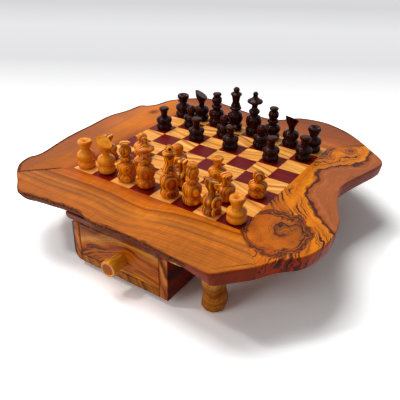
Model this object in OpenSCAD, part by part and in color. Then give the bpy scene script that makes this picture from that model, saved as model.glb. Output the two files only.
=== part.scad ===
// Chess board of olive wood with a live edge, on four legs, with a casing for two
// drawers under it and a full set of turned pieces. Millimetres, +Z up. The origin is
// on the ground under the middle of the whole, and the front drawer opens towards -Y.

/* [Playing field] */
// Side of one square
square_size = 37; // [33:1:40]
// Thickness of the inlaid squares
square_thick = 8; // [4:1:12]
// Glue line between two squares
glue_line = 0.1; // [0.05:0.05:0.4]
// Sideways place of the field on the board
field_x = -3; // [-10:1:8]
// Place of the field from front to back
field_y = -5; // [-10:1:8]

/* [Board] */
// Thickness of the border planks
board_thick = 20; // [17:1:30]
// How far the rounded upper edge of the planks runs in
edge_round = 1.5; // [0.5:0.25:3]

/* [Legs] */
// Height of the legs, from the ground to the underside of the board
leg_height = 86; // [76:1:120]
// Radius of a leg at its top
leg_r = 18; // [14:0.5:21]
// Gap from the mounting plate to the front right leg
front_right_gap = 3; // [2:1:12]
// Front right leg, from front to back
front_right_y = -192; // [-198:1:-184]
// Gap from the mounting plate to the front left leg
front_left_gap = 59; // [57:1:69]
// Front left leg, from front to back
front_left_y = -118; // [-126:1:-90]
// Gap from the mounting plate to the back right leg
back_right_gap = 3; // [2:1:12]
// Back right leg, from front to back
back_right_y = 174; // [168:1:182]
// Gap from the mounting plate to the back left leg
back_left_gap = 29; // [8:1:35]
// Back left leg, from front to back
back_left_y = 170; // [166:1:176]

/* [Casing] */
// Width of the casing
case_w = 170; // [140:1:180]
// How far the casing's front lies in from the board's foremost edge
case_inset_front = 22; // [16:1:40]
// How far the casing's back lies in from the board's rearmost edge
case_inset_back = 60; // [54:1:90]
// Thickness of the side panels
case_side = 14; // [11:1:20]
// Thickness of the bottom panel
case_bottom_thick = 13; // [10:1:18]
// Thickness of the mounting plate under the board
plate_thick = 10; // [8:1:14]
// Thickness of the divider between the two drawers
divider_thick = 10; // [6:1:16]
// Space between the casing and the ground
ground_gap = 9; // [4:1:18]
// How far the mounting plate sticks out on the left
plate_out_left = 10; // [0:1:20]
// How far the mounting plate sticks out on the right
plate_out_right = 26; // [0:1:28]
// Radius of the mounting plate's corners
plate_corner = 9; // [2:0.5:12]

/* [Drawers] */
// Thickness of a drawer's front panel
face_thick = 12; // [9:1:18]
// Gap round a drawer's front panel
face_gap = 1; // [0.5:0.25:2]
// Thickness of a drawer's sides and back
drawer_wall = 8; // [5:1:12]
// Height of a drawer's sides and back
drawer_wall_h = 40; // [30:1:42]
// Thickness of a drawer's bottom
drawer_floor = 4; // [3:0.5:6]
// Gap between a drawer's side and the casing
side_gap = 1; // [0.5:0.25:2]
// Gap under a drawer, where it slides on the bottom panel
slide_gap = 0.3; // [0.1:0.1:0.6]
// Space behind a drawer when it is shut
back_space = 6; // [2:1:20]

/* [Knobs] */
// Diameter of a knob's head
knob_head_d = 24.5; // [22:0.5:30]
// Thickness of a knob's head
knob_head_h = 9; // [6:0.5:12]
// Diameter of a knob's stem
knob_stem_d = 21; // [14:0.5:22]
// How far a knob stands out from its drawer
knob_out = 28; // [20:1:34]
// Diameter of the spigot that holds a knob in its drawer
spigot_d = 9; // [6:0.5:12]
// Sideways place of a knob from the middle of its drawer
knob_x = 6; // [-20:1:20]
// Height of a knob's middle above the casing's bottom panel
knob_z = 23; // [18:1:32]

/* [Fixings] */
// Diameter of the wooden dowels
dowel_d = 8; // [6:0.5:9]
// Length of the wooden dowels
dowel_len = 20; // [16:1:24]
// Shank diameter of the screws in the mounting plate
screw_d = 4; // [3:0.5:5]
// Length of those screws
screw_len = 18; // [14:1:20]
// Clearance round dowels, screws and spigots
fit_gap = 0.05; // [0.02:0.01:0.1]

/* [Pieces] */
// Diameter of a piece at its foot
piece_d = 27.5; // [24:0.5:29]
// Height of the pawns
pawn_h = 40; // [36:1:46]
// Height of the rooks
rook_h = 42; // [38:1:48]
// Height of the knights
knight_h = 56; // [50:1:62]
// Height of the bishops
bishop_h = 62; // [56:1:68]
// Height of the queens
queen_h = 78; // [70:1:84]
// Height of the kings
king_h = 79; // [72:1:86]

/* [Hidden] */
$fn = 48;
eps = 0.5;
field_w = 8 * square_size;
board_z = leg_height;
board_top = board_z + board_thick;
core_thick = board_thick - square_thick;
piece_r = piece_d / 2;

// The live edge seen from above: x, y, and how far the underside runs in there
EDGE = [
    [-214, -211, 9], [-190, -231, 12], [-165, -250, 12], [-140, -247, 13], [-105, -242, 13],
    [-60, -239, 13], [-28, -248, 13], [22, -245, 13], [60, -246, 13], [105, -249, 12],
    [150, -251, 6], [164, -248, 2], [180, -230, 1], [199, -209, 1], [216, -182, 1],
    [236, -161, 1], [247, -135, 2], [251, -98, 2], [244, -58, 2], [228, -23, 2],
    [214, 22, 2], [215, 48, 2], [227, 92, 3], [237, 128, 3], [236, 153, 3],
    [205, 185, 4], [164, 221, 5], [128, 241, 6], [92, 250, 6], [50, 241, 6],
    [22, 212, 5], [0, 205, 5], [-24, 206, 6], [-60, 212, 6], [-105, 220, 6],
    [-143, 229, 6], [-170, 214, 5], [-205, 174, 5], [-214, 138, 6], [-224, 123, 6],
    [-237, 113, 6], [-241, 76, 7], [-250, 36, 8], [-247, -20, 8], [-244, -75, 8],
    [-232, -145, 8], [-237, -168, 8], [-231, -192, 8]
];
EDGE_STEPS = 4;

// The plank's side in section: share of its thickness, share of the undercut,
// share of the rounded edge
EDGE_SECTION = [[0, 1, 0], [0.15, 0.72, 0], [0.5, 0.3, 0], [0.8, 0, 0], [0.95, 0, 0.25], [1, 0, 1]];

// A point at share t between b and c of a smooth curve through a, b, c, d
function curve_point(a, b, c, d, t) =
    0.5 * (2 * b + (c - a) * t + (2 * a - 5 * b + 4 * c - d) * t * t + (3 * b - a - 3 * c + d) * t * t * t);

function closed_curve(pts, steps) =
    let (n = len(pts))
    [
        for (i = [0:n - 1], k = [0:steps - 1])
            curve_point(pts[(i + n - 1) % n], pts[i], pts[(i + 1) % n], pts[(i + 2) % n], k / steps)
    ];

function middle(values) = (min(values) + max(values)) / 2;
function half_span(values) = (max(values) - min(values)) / 2;

raw_rim = closed_curve(EDGE, EDGE_STEPS);
rim_n = len(raw_rim);
rim_mid = [middle([for (p = raw_rim) p[0]]), middle([for (p = raw_rim) p[1]])];
rim_half = half_span([for (p = raw_rim) p[1]]);

// The board moves back so that the origin is in the middle of board and knobs together
reach_front = max(rim_half, rim_half - case_inset_front + knob_out);
reach_back = max(rim_half, rim_half - case_inset_back + knob_out);
board_y = (reach_front - reach_back) / 2;
rim = [for (p = raw_rim) [p[0] - rim_mid[0], p[1] - rim_mid[1] + board_y, p[2]]];
field_at = [field_x, board_y + field_y];
CORNER_WAYS = [[-1, -1], [1, -1], [1, 1], [-1, 1]];

// The legs stand off the mounting plate's long sides
leg_right_x = case_w / 2 + plate_out_right + leg_r;
leg_left_x = -case_w / 2 - plate_out_left - leg_r;
leg_front_right_at = [leg_right_x + front_right_gap, board_y + front_right_y];
leg_front_left_at = [leg_left_x - front_left_gap, board_y + front_left_y];
leg_back_right_at = [leg_right_x + back_right_gap, board_y + back_right_y];
leg_back_left_at = [leg_left_x - back_left_gap, board_y + back_left_y];
LEG_SPOTS = [leg_front_right_at, leg_front_left_at, leg_back_right_at, leg_back_left_at];

// A leg in section: share of its height, sideways lean and radius as shares of leg_r
LEG_SECTION = [
    [0, 0.1, 0.72], [0.02, 0.1, 0.9], [0.07, 0.12, 1.02], [0.18, 0.17, 1.02], [0.34, 0.1, 0.97],
    [0.5, 0, 0.97], [0.65, -0.04, 0.96], [0.82, -0.02, 0.97], [1, 0, 1.0]
];
LEG_SIDES = 28;

plate_z = board_z - plate_thick;
case_front = board_y - rim_half + case_inset_front;
case_back = board_y + rim_half - case_inset_back;
case_mid = (case_front + case_back) / 2;
case_length = case_back - case_front;
case_h = plate_z - ground_gap;
bay_w = case_w - 2 * case_side;
bay_z = ground_gap + case_bottom_thick;
bay_h = plate_z - bay_z;
bay_length = (case_length - divider_thick) / 2;

drawer_w = bay_w - 2 * side_gap;
drawer_z = bay_z + slide_gap;
drawer_len = bay_length - back_space;

dowel_r = dowel_d / 2;
dowel_hole_r = dowel_r + fit_gap;
dowel_end_space = 45;
leg_dowel_deep = 0.6 * board_thick;
plate_dowel_deep = 0.7 * plate_thick;
side_dowel_deep = 0.7 * case_side;
screw_r = screw_d / 2;
screw_head_r = screw_d;
screw_head_h = 0.6 * screw_d;
screw_tip_r = 0.2 * screw_d;
screw_in = 34;
screw_end_space = 32;
slot_w = 0.2 * screw_d;
slot_deep = 0.25 * screw_d;
spigot_r = spigot_d / 2;
knob_round_low = 2;
knob_round_top = 1.5;

bishop_slot = 1.6;
knight_slant = 30;
knight_slot = 2.6;
knight_head_r = 12.6;

pale_wood = "BurlyWood";
figured_wood = "Peru";
heart_wood = "SaddleBrown";
red_wood = "Maroon";
plain_wood = "Goldenrod";
dark_stain = [0.16, 0.07, 0.05];

// Every piece: name, kind, file from the left, rank from the front, its place off the
// middle of its square, its turn, and its height as a share of its kind's
PIECES = [
    ["light_rook_left", "rook", 0, 0, [-5, -3], 0, 1.07],
    ["light_knight_left", "knight", 1, 0, [-5, 2], 5, 1],
    ["light_bishop_left", "bishop", 2, 0, [-1, 0], -60, 1],
    ["light_queen", "queen", 3, 0, [-3, 2], 0, 1],
    ["light_king", "king", 4, 0, [4, 0], 0, 1],
    ["light_bishop_right", "bishop", 5, 0, [4, 2], 35, 1],
    ["light_knight_right", "knight", 6, 0, [3, -4], 60, 1],
    ["light_rook_right", "rook", 7, 0, [4, -3], 0, 0.9],
    ["light_pawn_1", "flat_pawn", 0, 1, [3, 2], 0, 1],
    ["light_pawn_2", "pawn", 1, 2, [4, 3], 0, 1],
    ["light_pawn_3", "pawn", 2, 1, [0, 0], 0, 1],
    ["light_pawn_4", "pawn", 3, 2, [0, 4], 0, 1],
    ["light_pawn_5", "flat_pawn", 4, 1, [0, 0], 0, 1],
    ["light_pawn_6", "flat_pawn", 5, 2, [0, 0], 0, 1],
    ["light_pawn_7", "flat_pawn", 6, 1, [0, 0], 0, 1],
    ["light_pawn_8", "pawn", 7, 2, [-5, -2], 0, 1],
    ["dark_rook_left", "rook", 0, 7, [-4, -4], 0, 1],
    ["dark_knight_left", "knight", 1, 7, [-2, 0], 25, 1],
    ["dark_bishop_left", "bishop", 2, 7, [-5, -2], 20, 0.97],
    ["dark_king", "king", 3, 7, [-3, -2], 0, 1],
    ["dark_queen", "queen", 4, 7, [-3, -1], 0, 1],
    ["dark_bishop_right", "bishop", 5, 7, [-3, -1], -30, 0.95],
    ["dark_knight_right", "knight", 6, 7, [-3, -5], 75, 1],
    ["dark_rook_right", "rook", 7, 7, [0, -4], 0, 1.03],
    ["dark_pawn_1", "flat_pawn", 0, 5, [3, 1], 0, 1],
    ["dark_pawn_2", "pawn", 1, 6, [0, 0], 0, 1],
    ["dark_pawn_3", "flat_pawn", 2, 5, [2, -4], 0, 0.97],
    ["dark_pawn_4", "pawn", 3, 6, [-3, -2], 0, 1],
    ["dark_pawn_5", "flat_pawn", 4, 5, [-6, -1], 0, 1],
    ["dark_pawn_6", "pawn", 5, 6, [-4, -3], 0, 1],
    ["dark_pawn_7", "flat_pawn", 6, 5, [-5, 0], 0, 1],
    ["dark_pawn_8", "flat_pawn", 7, 6, [0, -4], 0, 1]
];

// ---- Board ----

// Unit normal of the rim between two of its points, pointing inwards
function rim_normal(a, b) =
    let (d = [b[0] - a[0], b[1] - a[1]])
    [-d[1], d[0]] / norm(d);

function flat_distance(a, b) = norm([b[0] - a[0], b[1] - a[1]]);

// Corner k of the field, counted from the front left one, and the side of the line out
// from it on which a point lies
function corner(k) = field_at + CORNER_WAYS[k] * field_w / 2;
function side_of(k, p) = cross(CORNER_WAYS[k], [p[0], p[1]] - corner(k));
function is_outside(k, p) = CORNER_WAYS[k] * ([p[0], p[1]] - corner(k)) > 0;

// The stretch of the rim in which the mitre from corner k ends
function mitre_stretch(k) = [
    for (i = [0:rim_n - 1])
        if (is_outside(k, rim[i]) && side_of(k, rim[i]) <= 0 && side_of(k, rim[(i + 1) % rim_n]) > 0) i
][0];

// The mitre's end there: x, y, undercut, and the way inwards along the mitre
function mitre_end(k) =
    let (
        i = mitre_stretch(k),
        a = rim[i],
        b = rim[(i + 1) % rim_n],
        share = side_of(k, a) / (side_of(k, a) - side_of(k, b)),
        inward = rim_normal(a, b),
        along = -CORNER_WAYS[k] / norm(CORNER_WAYS[k])
    )
    concat(a + (b - a) * share, along / (along * inward));

// A plank's outer outline, from the mitre at corner k to the next one
function plank_outline(k) =
    let (
        next = (k + 1) % 4,
        from = mitre_end(k),
        to = mitre_end(next),
        first = mitre_stretch(k),
        count = (mitre_stretch(next) - first + rim_n) % rim_n
    )
    concat(
        [from],
        [
            for (j = [1:count])
                let (i = (first + j) % rim_n, p = rim[i])
                if (min(flat_distance(p, from), flat_distance(p, to)) > eps)
                    concat(p, rim_normal(rim[(i + rim_n - 1) % rim_n], rim[(i + 1) % rim_n]))
        ],
        [to]
    );

// The plank's outline at one level of its edge section, closed along the field
function plank_ring(k, outline, level) =
    let (z = board_z + level[0] * board_thick, corners = [corner((k + 1) % 4), corner(k)])
    concat(
        [
            for (p = outline)
                let (inset = level[1] * p[2] + level[2] * edge_round)
                [p[0] + inset * p[3], p[1] + inset * p[4], z]
        ],
        [for (c = corners) [c[0], c[1], z]]
    );

// A closed stack of rings with flat ends, rings of n points each
module stack(points, n, rings) {
    sides = [
        for (r = [0:rings - 2], i = [0:n - 1])
            [r * n + i, (r + 1) * n + i, (r + 1) * n + (i + 1) % n, r * n + (i + 1) % n]
    ];
    bottom = [[for (i = [0:n - 1]) i]];
    top = [[for (i = [0:n - 1]) rings * n - 1 - i]];
    polyhedron(points, concat(sides, bottom, top), convexity = 6);
}

module plank(k) {
    outline = plank_outline(k);
    color(figured_wood)
        difference() {
            stack(
                [for (level = EDGE_SECTION) each plank_ring(k, outline, level)],
                len(outline) + 2, len(EDGE_SECTION)
            );
            leg_dowels(dowel_hole_r);
            plate_screw_shapes(fit_gap);
        }
}

module front_plank() { plank(0); }
module right_plank() { plank(1); }
module back_plank() { plank(2); }
module left_plank() { plank(3); }

module core_board() {
    color(pale_wood)
        difference() {
            translate([field_at[0] - field_w / 2, field_at[1] - field_w / 2, board_z])
                cube([field_w, field_w, core_thick]);
            plate_screw_shapes(fit_gap);
        }
}

// The squares whose file and rank add up to an even or an odd number
module squares(odd) {
    side = square_size - glue_line;
    for (i = [0:7], j = [0:7])
        if ((i + j) % 2 == odd)
            translate([
                field_at[0] + (i - 4) * square_size + glue_line / 2,
                field_at[1] + (j - 4) * square_size + glue_line / 2,
                board_top - square_thick
            ])
                cube([side, side, square_thick]);
}

module light_squares() { color(pale_wood) squares(0); }
module dark_squares() { color(red_wood) squares(1); }

// ---- Legs ----

module leg(at, turn) {
    color(plain_wood)
        difference() {
            translate([at[0], at[1], 0])
                rotate(turn)
                    stack(
                        [
                            for (level = LEG_SECTION, i = [0:LEG_SIDES - 1])
                                let (a = 360 * i / LEG_SIDES, r = level[2] * leg_r)
                                [level[1] * leg_r + r * cos(a), r * sin(a), level[0] * leg_height]
                        ],
                        LEG_SIDES, len(LEG_SECTION)
                    );
            leg_dowels(dowel_hole_r);
        }
}

module leg_front_right() { leg(leg_front_right_at, 33); }
module leg_front_left() { leg(leg_front_left_at, 160); }
module leg_back_right() { leg(leg_back_right_at, 250); }
module leg_back_left() { leg(leg_back_left_at, 100); }

// ---- Casing ----

module plate_plan() {
    x0 = -case_w / 2 - plate_out_left;
    x1 = case_w / 2 + plate_out_right;
    r = plate_corner;
    translate([x0 + r, case_front])
        square([x1 - x0 - 2 * r, case_length]);
    translate([x0, case_front + r])
        square([x1 - x0, case_length - 2 * r]);
    for (x = [x0 + r, x1 - r], y = [case_front + r, case_back - r])
        translate([x, y])
            circle(r);
}

module case_plate() {
    color(heart_wood)
        difference() {
            translate([0, 0, plate_z])
                linear_extrude(plate_thick)
                    plate_plan();
            plate_screw_shapes(fit_gap);
            case_dowels(dowel_hole_r);
        }
}

module case_side_panel(side) {
    x = side > 0 ? case_w / 2 - case_side : -case_w / 2;
    color(figured_wood)
        difference() {
            translate([x, case_front, ground_gap])
                cube([case_side, case_length, case_h]);
            case_dowels(dowel_hole_r);
        }
}

module case_left_side() { case_side_panel(-1); }
module case_right_side() { case_side_panel(1); }

module case_bottom() {
    color(figured_wood)
        difference() {
            translate([-bay_w / 2, case_front, ground_gap])
                cube([bay_w, case_length, case_bottom_thick]);
            case_dowels(dowel_hole_r);
        }
}

module case_divider() {
    color(pale_wood)
        translate([-bay_w / 2, case_mid - divider_thick / 2, bay_z])
            cube([bay_w, divider_thick, bay_h]);
}

// ---- Fixings ----

// Four places along the casing, evenly spaced between two ends
function case_rows(end_space) =
    [for (k = [0:3]) case_front + end_space + k * (case_length - 2 * end_space) / 3];

// One dowel through each leg's top into the plank above it
module leg_dowels(r) {
    for (at = LEG_SPOTS)
        translate([at[0], at[1], board_z + leg_dowel_deep - dowel_len])
            cylinder(r = r, h = dowel_len);
}

// Upright dowels between the side panels and the mounting plate, and level ones
// between the side panels and the bottom panel
module case_dowels(r) {
    for (s = [-1, 1], y = case_rows(dowel_end_space)) {
        translate([s * (case_w - case_side) / 2, y, plate_z + plate_dowel_deep - dowel_len])
            cylinder(r = r, h = dowel_len);
        translate([s * (bay_w / 2 + side_dowel_deep), y, ground_gap + case_bottom_thick / 2])
            rotate([0, -s * 90, 0])
                cylinder(r = r, h = dowel_len);
    }
}

module dowels() {
    color(pale_wood) {
        leg_dowels(dowel_r);
        case_dowels(dowel_r);
    }
}

module at_plate_screws() {
    for (s = [-1, 1], y = case_rows(screw_end_space))
        translate([s * (case_w / 2 - screw_in), y, plate_z])
            children();
}

// A countersunk screw, pointing up, grown by gap all round
module plate_screw_shapes(gap) {
    at_plate_screws()
        rotate_extrude()
            polygon([
                [0, -gap], [screw_head_r + 2 * gap, -gap], [screw_r + gap, screw_head_h + gap],
                [screw_r + gap, screw_len - screw_r], [screw_tip_r + gap, screw_len + gap],
                [0, screw_len + gap]
            ]);
}

module plate_screws() {
    color("Silver")
        difference() {
            plate_screw_shapes(0);
            at_plate_screws()
                translate([-screw_head_r, -slot_w / 2, -slot_deep])
                    cube([2 * screw_head_r, slot_w, 2 * slot_deep]);
        }
}

// ---- Drawers ----

// A drawer is drawn for the front bay; the far one is turned round the casing's middle
module drawer_face() {
    color(figured_wood)
        difference() {
            translate([-drawer_w / 2, case_front, bay_z + face_gap])
                cube([drawer_w, face_thick, bay_h - 2 * face_gap]);
            knob_spigot(spigot_r + fit_gap);
        }
}

module drawer_sides() {
    color(pale_wood)
        for (x = [-drawer_w / 2, drawer_w / 2 - drawer_wall])
            translate([x, case_front + face_thick, drawer_z])
                cube([drawer_wall, drawer_len - face_thick, drawer_wall_h]);
}

module drawer_back() {
    color(pale_wood)
        translate([-drawer_w / 2 + drawer_wall, case_front + drawer_len - drawer_wall, drawer_z])
            cube([drawer_w - 2 * drawer_wall, drawer_wall, drawer_wall_h]);
}

module drawer_bottom() {
    color(pale_wood)
        translate([-drawer_w / 2 + drawer_wall, case_front + face_thick, drawer_z])
            cube([drawer_w - 2 * drawer_wall, drawer_len - face_thick - drawer_wall, drawer_floor]);
}

module at_knob() {
    translate([knob_x, case_front, bay_z + knob_z])
        rotate([90, 0, 0])
            children();
}

module knob_spigot(r) {
    at_knob()
        translate([0, 0, -face_thick])
            cylinder(r = r, h = face_thick);
}

module drawer_knob() {
    r = knob_head_d / 2;
    s = knob_stem_d / 2;
    neck_z = knob_out - knob_head_h;
    color(plain_wood)
        at_knob()
            rotate_extrude()
                polygon(concat(
                    [[0, -face_thick], [spigot_r, -face_thick], [spigot_r, 0], [s, 0]],
                    [[0.95 * s, neck_z / 2], [0.97 * s, neck_z - 1], [0.9 * s, neck_z]],
                    arc(r - knob_round_low, neck_z + knob_round_low, knob_round_low, knob_round_low, -60, 0, 4),
                    arc(r - knob_round_top, knob_out - knob_round_top, knob_round_top, knob_round_top, 0, 90, 4),
                    [[0.6 * r, knob_out], [0, knob_out]]
                ));
}

module far_side() {
    translate([0, 2 * case_mid])
        rotate(180)
            children();
}

module front_drawer_face() { drawer_face(); }
module front_drawer_sides() { drawer_sides(); }
module front_drawer_back() { drawer_back(); }
module front_drawer_bottom() { drawer_bottom(); }
module front_drawer_knob() { drawer_knob(); }
module far_drawer_face() { far_side() drawer_face(); }
module far_drawer_sides() { far_side() drawer_sides(); }
module far_drawer_back() { far_side() drawer_back(); }
module far_drawer_bottom() { far_side() drawer_bottom(); }
module far_drawer_knob() { far_side() drawer_knob(); }

// ---- Pieces ----

// Part of an ellipse round [rc, zc], from angle a0 to a1
function arc(rc, zc, rr, rz, a0, a1, n = 8) =
    [for (k = [0:n]) let (a = a0 + (a1 - a0) * k / n) [rc + rr * cos(a), zc + rz * sin(a)]];

// The foot and the round belly that every piece stands on, up to height top, where
// the neck of radius neck_r begins; a shallow step runs round the shoulder
function pedestal(r, foot_h, top, neck_r) =
    let (
        belly = 9.7,
        step = 1,
        h = top - foot_h,
        end = acos((neck_r - r + 10 + step) / belly)
    )
    concat(
        [[0, 0]],
        arc(r - 4.5, foot_h / 2, 4.5, foot_h / 2, -90, 62),
        [[r - 3, foot_h]],
        arc(r - 10, foot_h + 0.45 * h, belly, 0.55 * h, -45, 46),
        arc(r - 10 - step, foot_h + 0.45 * h, belly, 0.55 * h, 48, end, 4)
    );

// The neck and head of each kind, in heights of its own total
function pawn_top(h) = concat(
    [[5.2, h - 16.8], [4.8, h - 15.8]],
    arc(0, h - 8.4, 8.3, 8.4, -56, 90, 12)
);

function flat_pawn_top(h) = concat(
    [[5.3, h - 16.8], [5, h - 15.8], [5.6, h - 12], [7.4, h - 5]],
    arc(7.4, h - 2, 1.3, 2, -40, 80, 5),
    [[4, h], [0, h]]
);

function rook_top(h) = concat(
    [[6.9, h - 17.4], [6.4, h - 16.4], [6.1, h - 12.5], [6.9, h - 12], [7.2, h - 9.6], [9, h - 7.6]],
    arc(9.4, h - 3.6, 1.9, 3.6, -55, 90, 7),
    [[7.5, h - 0.7], [3.6, h - 2.6], [2.2, h - 5], [0, h - 5.6]]
);

function knight_top(h) = concat(
    [[4.7, h - 27.6], [4.5, h - 25.6], [5.4, h - 22.5], [8, h - 17], [10.4, h - 12.5], [11.7, h - 7]],
    [[knight_head_r - 0.2, h - 2], [knight_head_r, h], [0, h]]
);

function bishop_top(h) = concat(
    [[5.6, h - 30]],
    arc(5, h - 25.2, 4.5, 3.6, -80, 80, 8),
    [[5.6, h - 20.8]],
    arc(4.6, h - 13.4, 4.3, 7, -72, 72, 8),
    [[5.2, h - 5.6]],
    arc(4.9, h - 2.6, 2.9, 2.5, -80, 80, 6),
    [[3, h], [0, h]]
);

function queen_top(h) = concat(
    [[5, h - 41.4]],
    arc(4.6, h - 36, 5.1, 5, -76, 76, 8),
    [[4.8, h - 28.5], [4.6, h - 25], [5.6, h - 21.8], [9.2, h - 19.6]],
    arc(11.4, h - 16.6, 2.3, 2.8, -60, 75, 6),
    [[9.2, h - 13], [6.6, h - 10.6], [5, h - 8.2], [4, h - 6.4]],
    arc(0, h - 4, 4.2, 4, -20, 90, 7)
);

function king_top(h) = concat(
    [[6.4, h - 44], [6.2, h - 42], [8.4, h - 39.8], [10.4, h - 37.4], [10.4, h - 36]],
    [[8.2, h - 34.6], [8.7, h - 32.8], [7.2, h - 31.6], [7.8, h - 30], [6.3, h - 28.4]],
    [[6.2, h - 25], [7.4, h - 18], [8.8, h - 14.5], [10, h - 13.4], [10, h - 12.2], [7.4, h - 9.2]],
    arc(0, h - 5.6, 5.4, 5.6, -10, 90, 8)
);

module turned(profile) {
    rotate_extrude() polygon(profile);
}

module pawn(h) { turned(concat(pedestal(piece_r, 11, h - 17.2, 5.4), pawn_top(h))); }
module flat_pawn(h) { turned(concat(pedestal(piece_r, 11, h - 17.2, 5.5), flat_pawn_top(h))); }
module rook(h) { turned(concat(pedestal(piece_r, 11, h - 17.8, 7.1), rook_top(h))); }
module queen(h) { turned(concat(pedestal(piece_r, 14, h - 42, 5.2), queen_top(h))); }
module king(h) { turned(concat(pedestal(piece_r, 13, h - 44.6, 6.6), king_top(h))); }

// The bishop's head has a sawn slot
module bishop(h) {
    difference() {
        turned(concat(pedestal(piece_r, 13, h - 30.6, 5.8), bishop_top(h)));
        translate([5.8, -bishop_slot / 2, h - 18])
            cube([4, bishop_slot, 8]);
    }
}

// The knight's head is a flared cone sawn off aslant, with a mouth under its low end and
// a gap between the ears at its high end
module knight(h) {
    difference() {
        turned(concat(pedestal(piece_r, 12, h - 28.2, 4.9), knight_top(h)));
        translate([-knight_head_r, -15, h])
            rotate([0, knight_slant, 0])
                cube([40, 30, 30]);
        translate([5.2, -15, h - 20])
            rotate([0, -25, 0])
                cube([14, 30, knight_slot]);
        translate([-knight_head_r - 1, -knight_slot / 2, h - 5])
            cube([6, knight_slot, 8]);
    }
}

module piece(p) {
    light = p[0][0] == "l";
    color(light ? pale_wood : dark_stain)
        translate([
            field_at[0] + (p[2] - 3.5) * square_size + p[4][0],
            field_at[1] + (p[3] - 3.5) * square_size + p[4][1],
            board_top
        ])
            rotate(p[5]) {
                if (p[1] == "pawn") pawn(pawn_h * p[6]);
                if (p[1] == "flat_pawn") flat_pawn(pawn_h * p[6]);
                if (p[1] == "rook") rook(rook_h * p[6]);
                if (p[1] == "knight") knight(knight_h * p[6]);
                if (p[1] == "bishop") bishop(bishop_h * p[6]);
                if (p[1] == "queen") queen(queen_h * p[6]);
                if (p[1] == "king") king(king_h * p[6]);
            }
}

front_plank();
right_plank();
back_plank();
left_plank();
core_board();
light_squares();
dark_squares();
leg_front_right();
leg_front_left();
leg_back_right();
leg_back_left();
case_plate();
case_left_side();
case_right_side();
case_bottom();
case_divider();
dowels();
plate_screws();
front_drawer_face();
front_drawer_sides();
front_drawer_back();
front_drawer_bottom();
front_drawer_knob();
far_drawer_face();
far_drawer_sides();
far_drawer_back();
far_drawer_bottom();
far_drawer_knob();
for (p = PIECES)
    piece(p);
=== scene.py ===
import math
from functools import partial

import bmesh
import bpy
from mathutils import Matrix, Vector, noise


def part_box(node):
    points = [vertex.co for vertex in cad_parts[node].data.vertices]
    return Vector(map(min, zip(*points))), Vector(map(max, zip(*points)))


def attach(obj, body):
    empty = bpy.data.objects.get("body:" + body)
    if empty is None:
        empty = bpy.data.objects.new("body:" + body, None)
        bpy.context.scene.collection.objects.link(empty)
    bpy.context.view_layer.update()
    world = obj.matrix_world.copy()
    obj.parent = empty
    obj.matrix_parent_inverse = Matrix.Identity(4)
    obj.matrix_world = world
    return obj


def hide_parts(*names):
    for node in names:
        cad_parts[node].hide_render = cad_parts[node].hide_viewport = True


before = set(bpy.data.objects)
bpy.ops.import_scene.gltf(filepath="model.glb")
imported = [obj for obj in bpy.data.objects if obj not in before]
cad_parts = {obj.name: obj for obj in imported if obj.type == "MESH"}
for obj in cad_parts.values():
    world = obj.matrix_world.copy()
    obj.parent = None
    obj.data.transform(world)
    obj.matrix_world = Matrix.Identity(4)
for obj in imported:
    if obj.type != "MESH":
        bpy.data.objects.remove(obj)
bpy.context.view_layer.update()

# Chess board of olive wood with a live edge, two drawers and turned pieces.
# Sizes in the dictionaries are millimetres unless they say otherwise; the objects are in metres.

mm = 0.001
scene = bpy.context.scene


def srgb(hexColour, alpha=1.0):
    parts = [int(hexColour[i:i + 2], 16) / 255 for i in (1, 3, 5)]
    return [c / 12.92 if c <= 0.04045 else ((c + 0.055) / 1.055) ** 2.4 for c in parts] + [alpha]


def addNode(tree, kind, inputs=(), out=0, stops=None, points=None, **settings):
    # A kind may name its operation too
    kind, *operation = kind.split()
    node = tree.nodes.new(kind if "Node" in kind else "ShaderNode" + kind)
    for name, value in [*settings.items(), *zip(["operation"], operation)]:
        setattr(node, name, value)
    if stops:  # colour ramp: place, colour, alpha
        elements = node.color_ramp.elements
        elements.remove(elements[-1])
        for i, (at, hexColour, *alpha) in enumerate(stops):
            element = elements.new(at) if i else elements[0]
            element.position = at
            element.color = srgb(hexColour, *alpha)
    if points:  # float curve
        curve = node.mapping.curves[0]
        for i, at in enumerate(points):
            if i < 2:
                curve.points[i].location = at
            else:
                curve.points.new(*at)
        node.mapping.update()
    for key, value in inputs.items() if isinstance(inputs, dict) else enumerate(inputs):
        if isinstance(value, bpy.types.NodeSocket):
            tree.links.new(value, node.inputs[key])
        elif value is not None:
            node.inputs[key].default_value = value
    return node.outputs[out] if node.outputs else node


def placeObject(name, data):
    placed = bpy.data.objects.new(name, data)
    scene.collection.objects.link(placed)
    return placed


def plainMesh(item):
    # The object's mesh with its modifiers worked in
    return bpy.data.meshes.new_from_object(item.evaluated_get(bpy.context.evaluated_depsgraph_get()))


def boxOf(node):
    return [Vector(corner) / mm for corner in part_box(node)]


# Camera, light and floor

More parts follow.
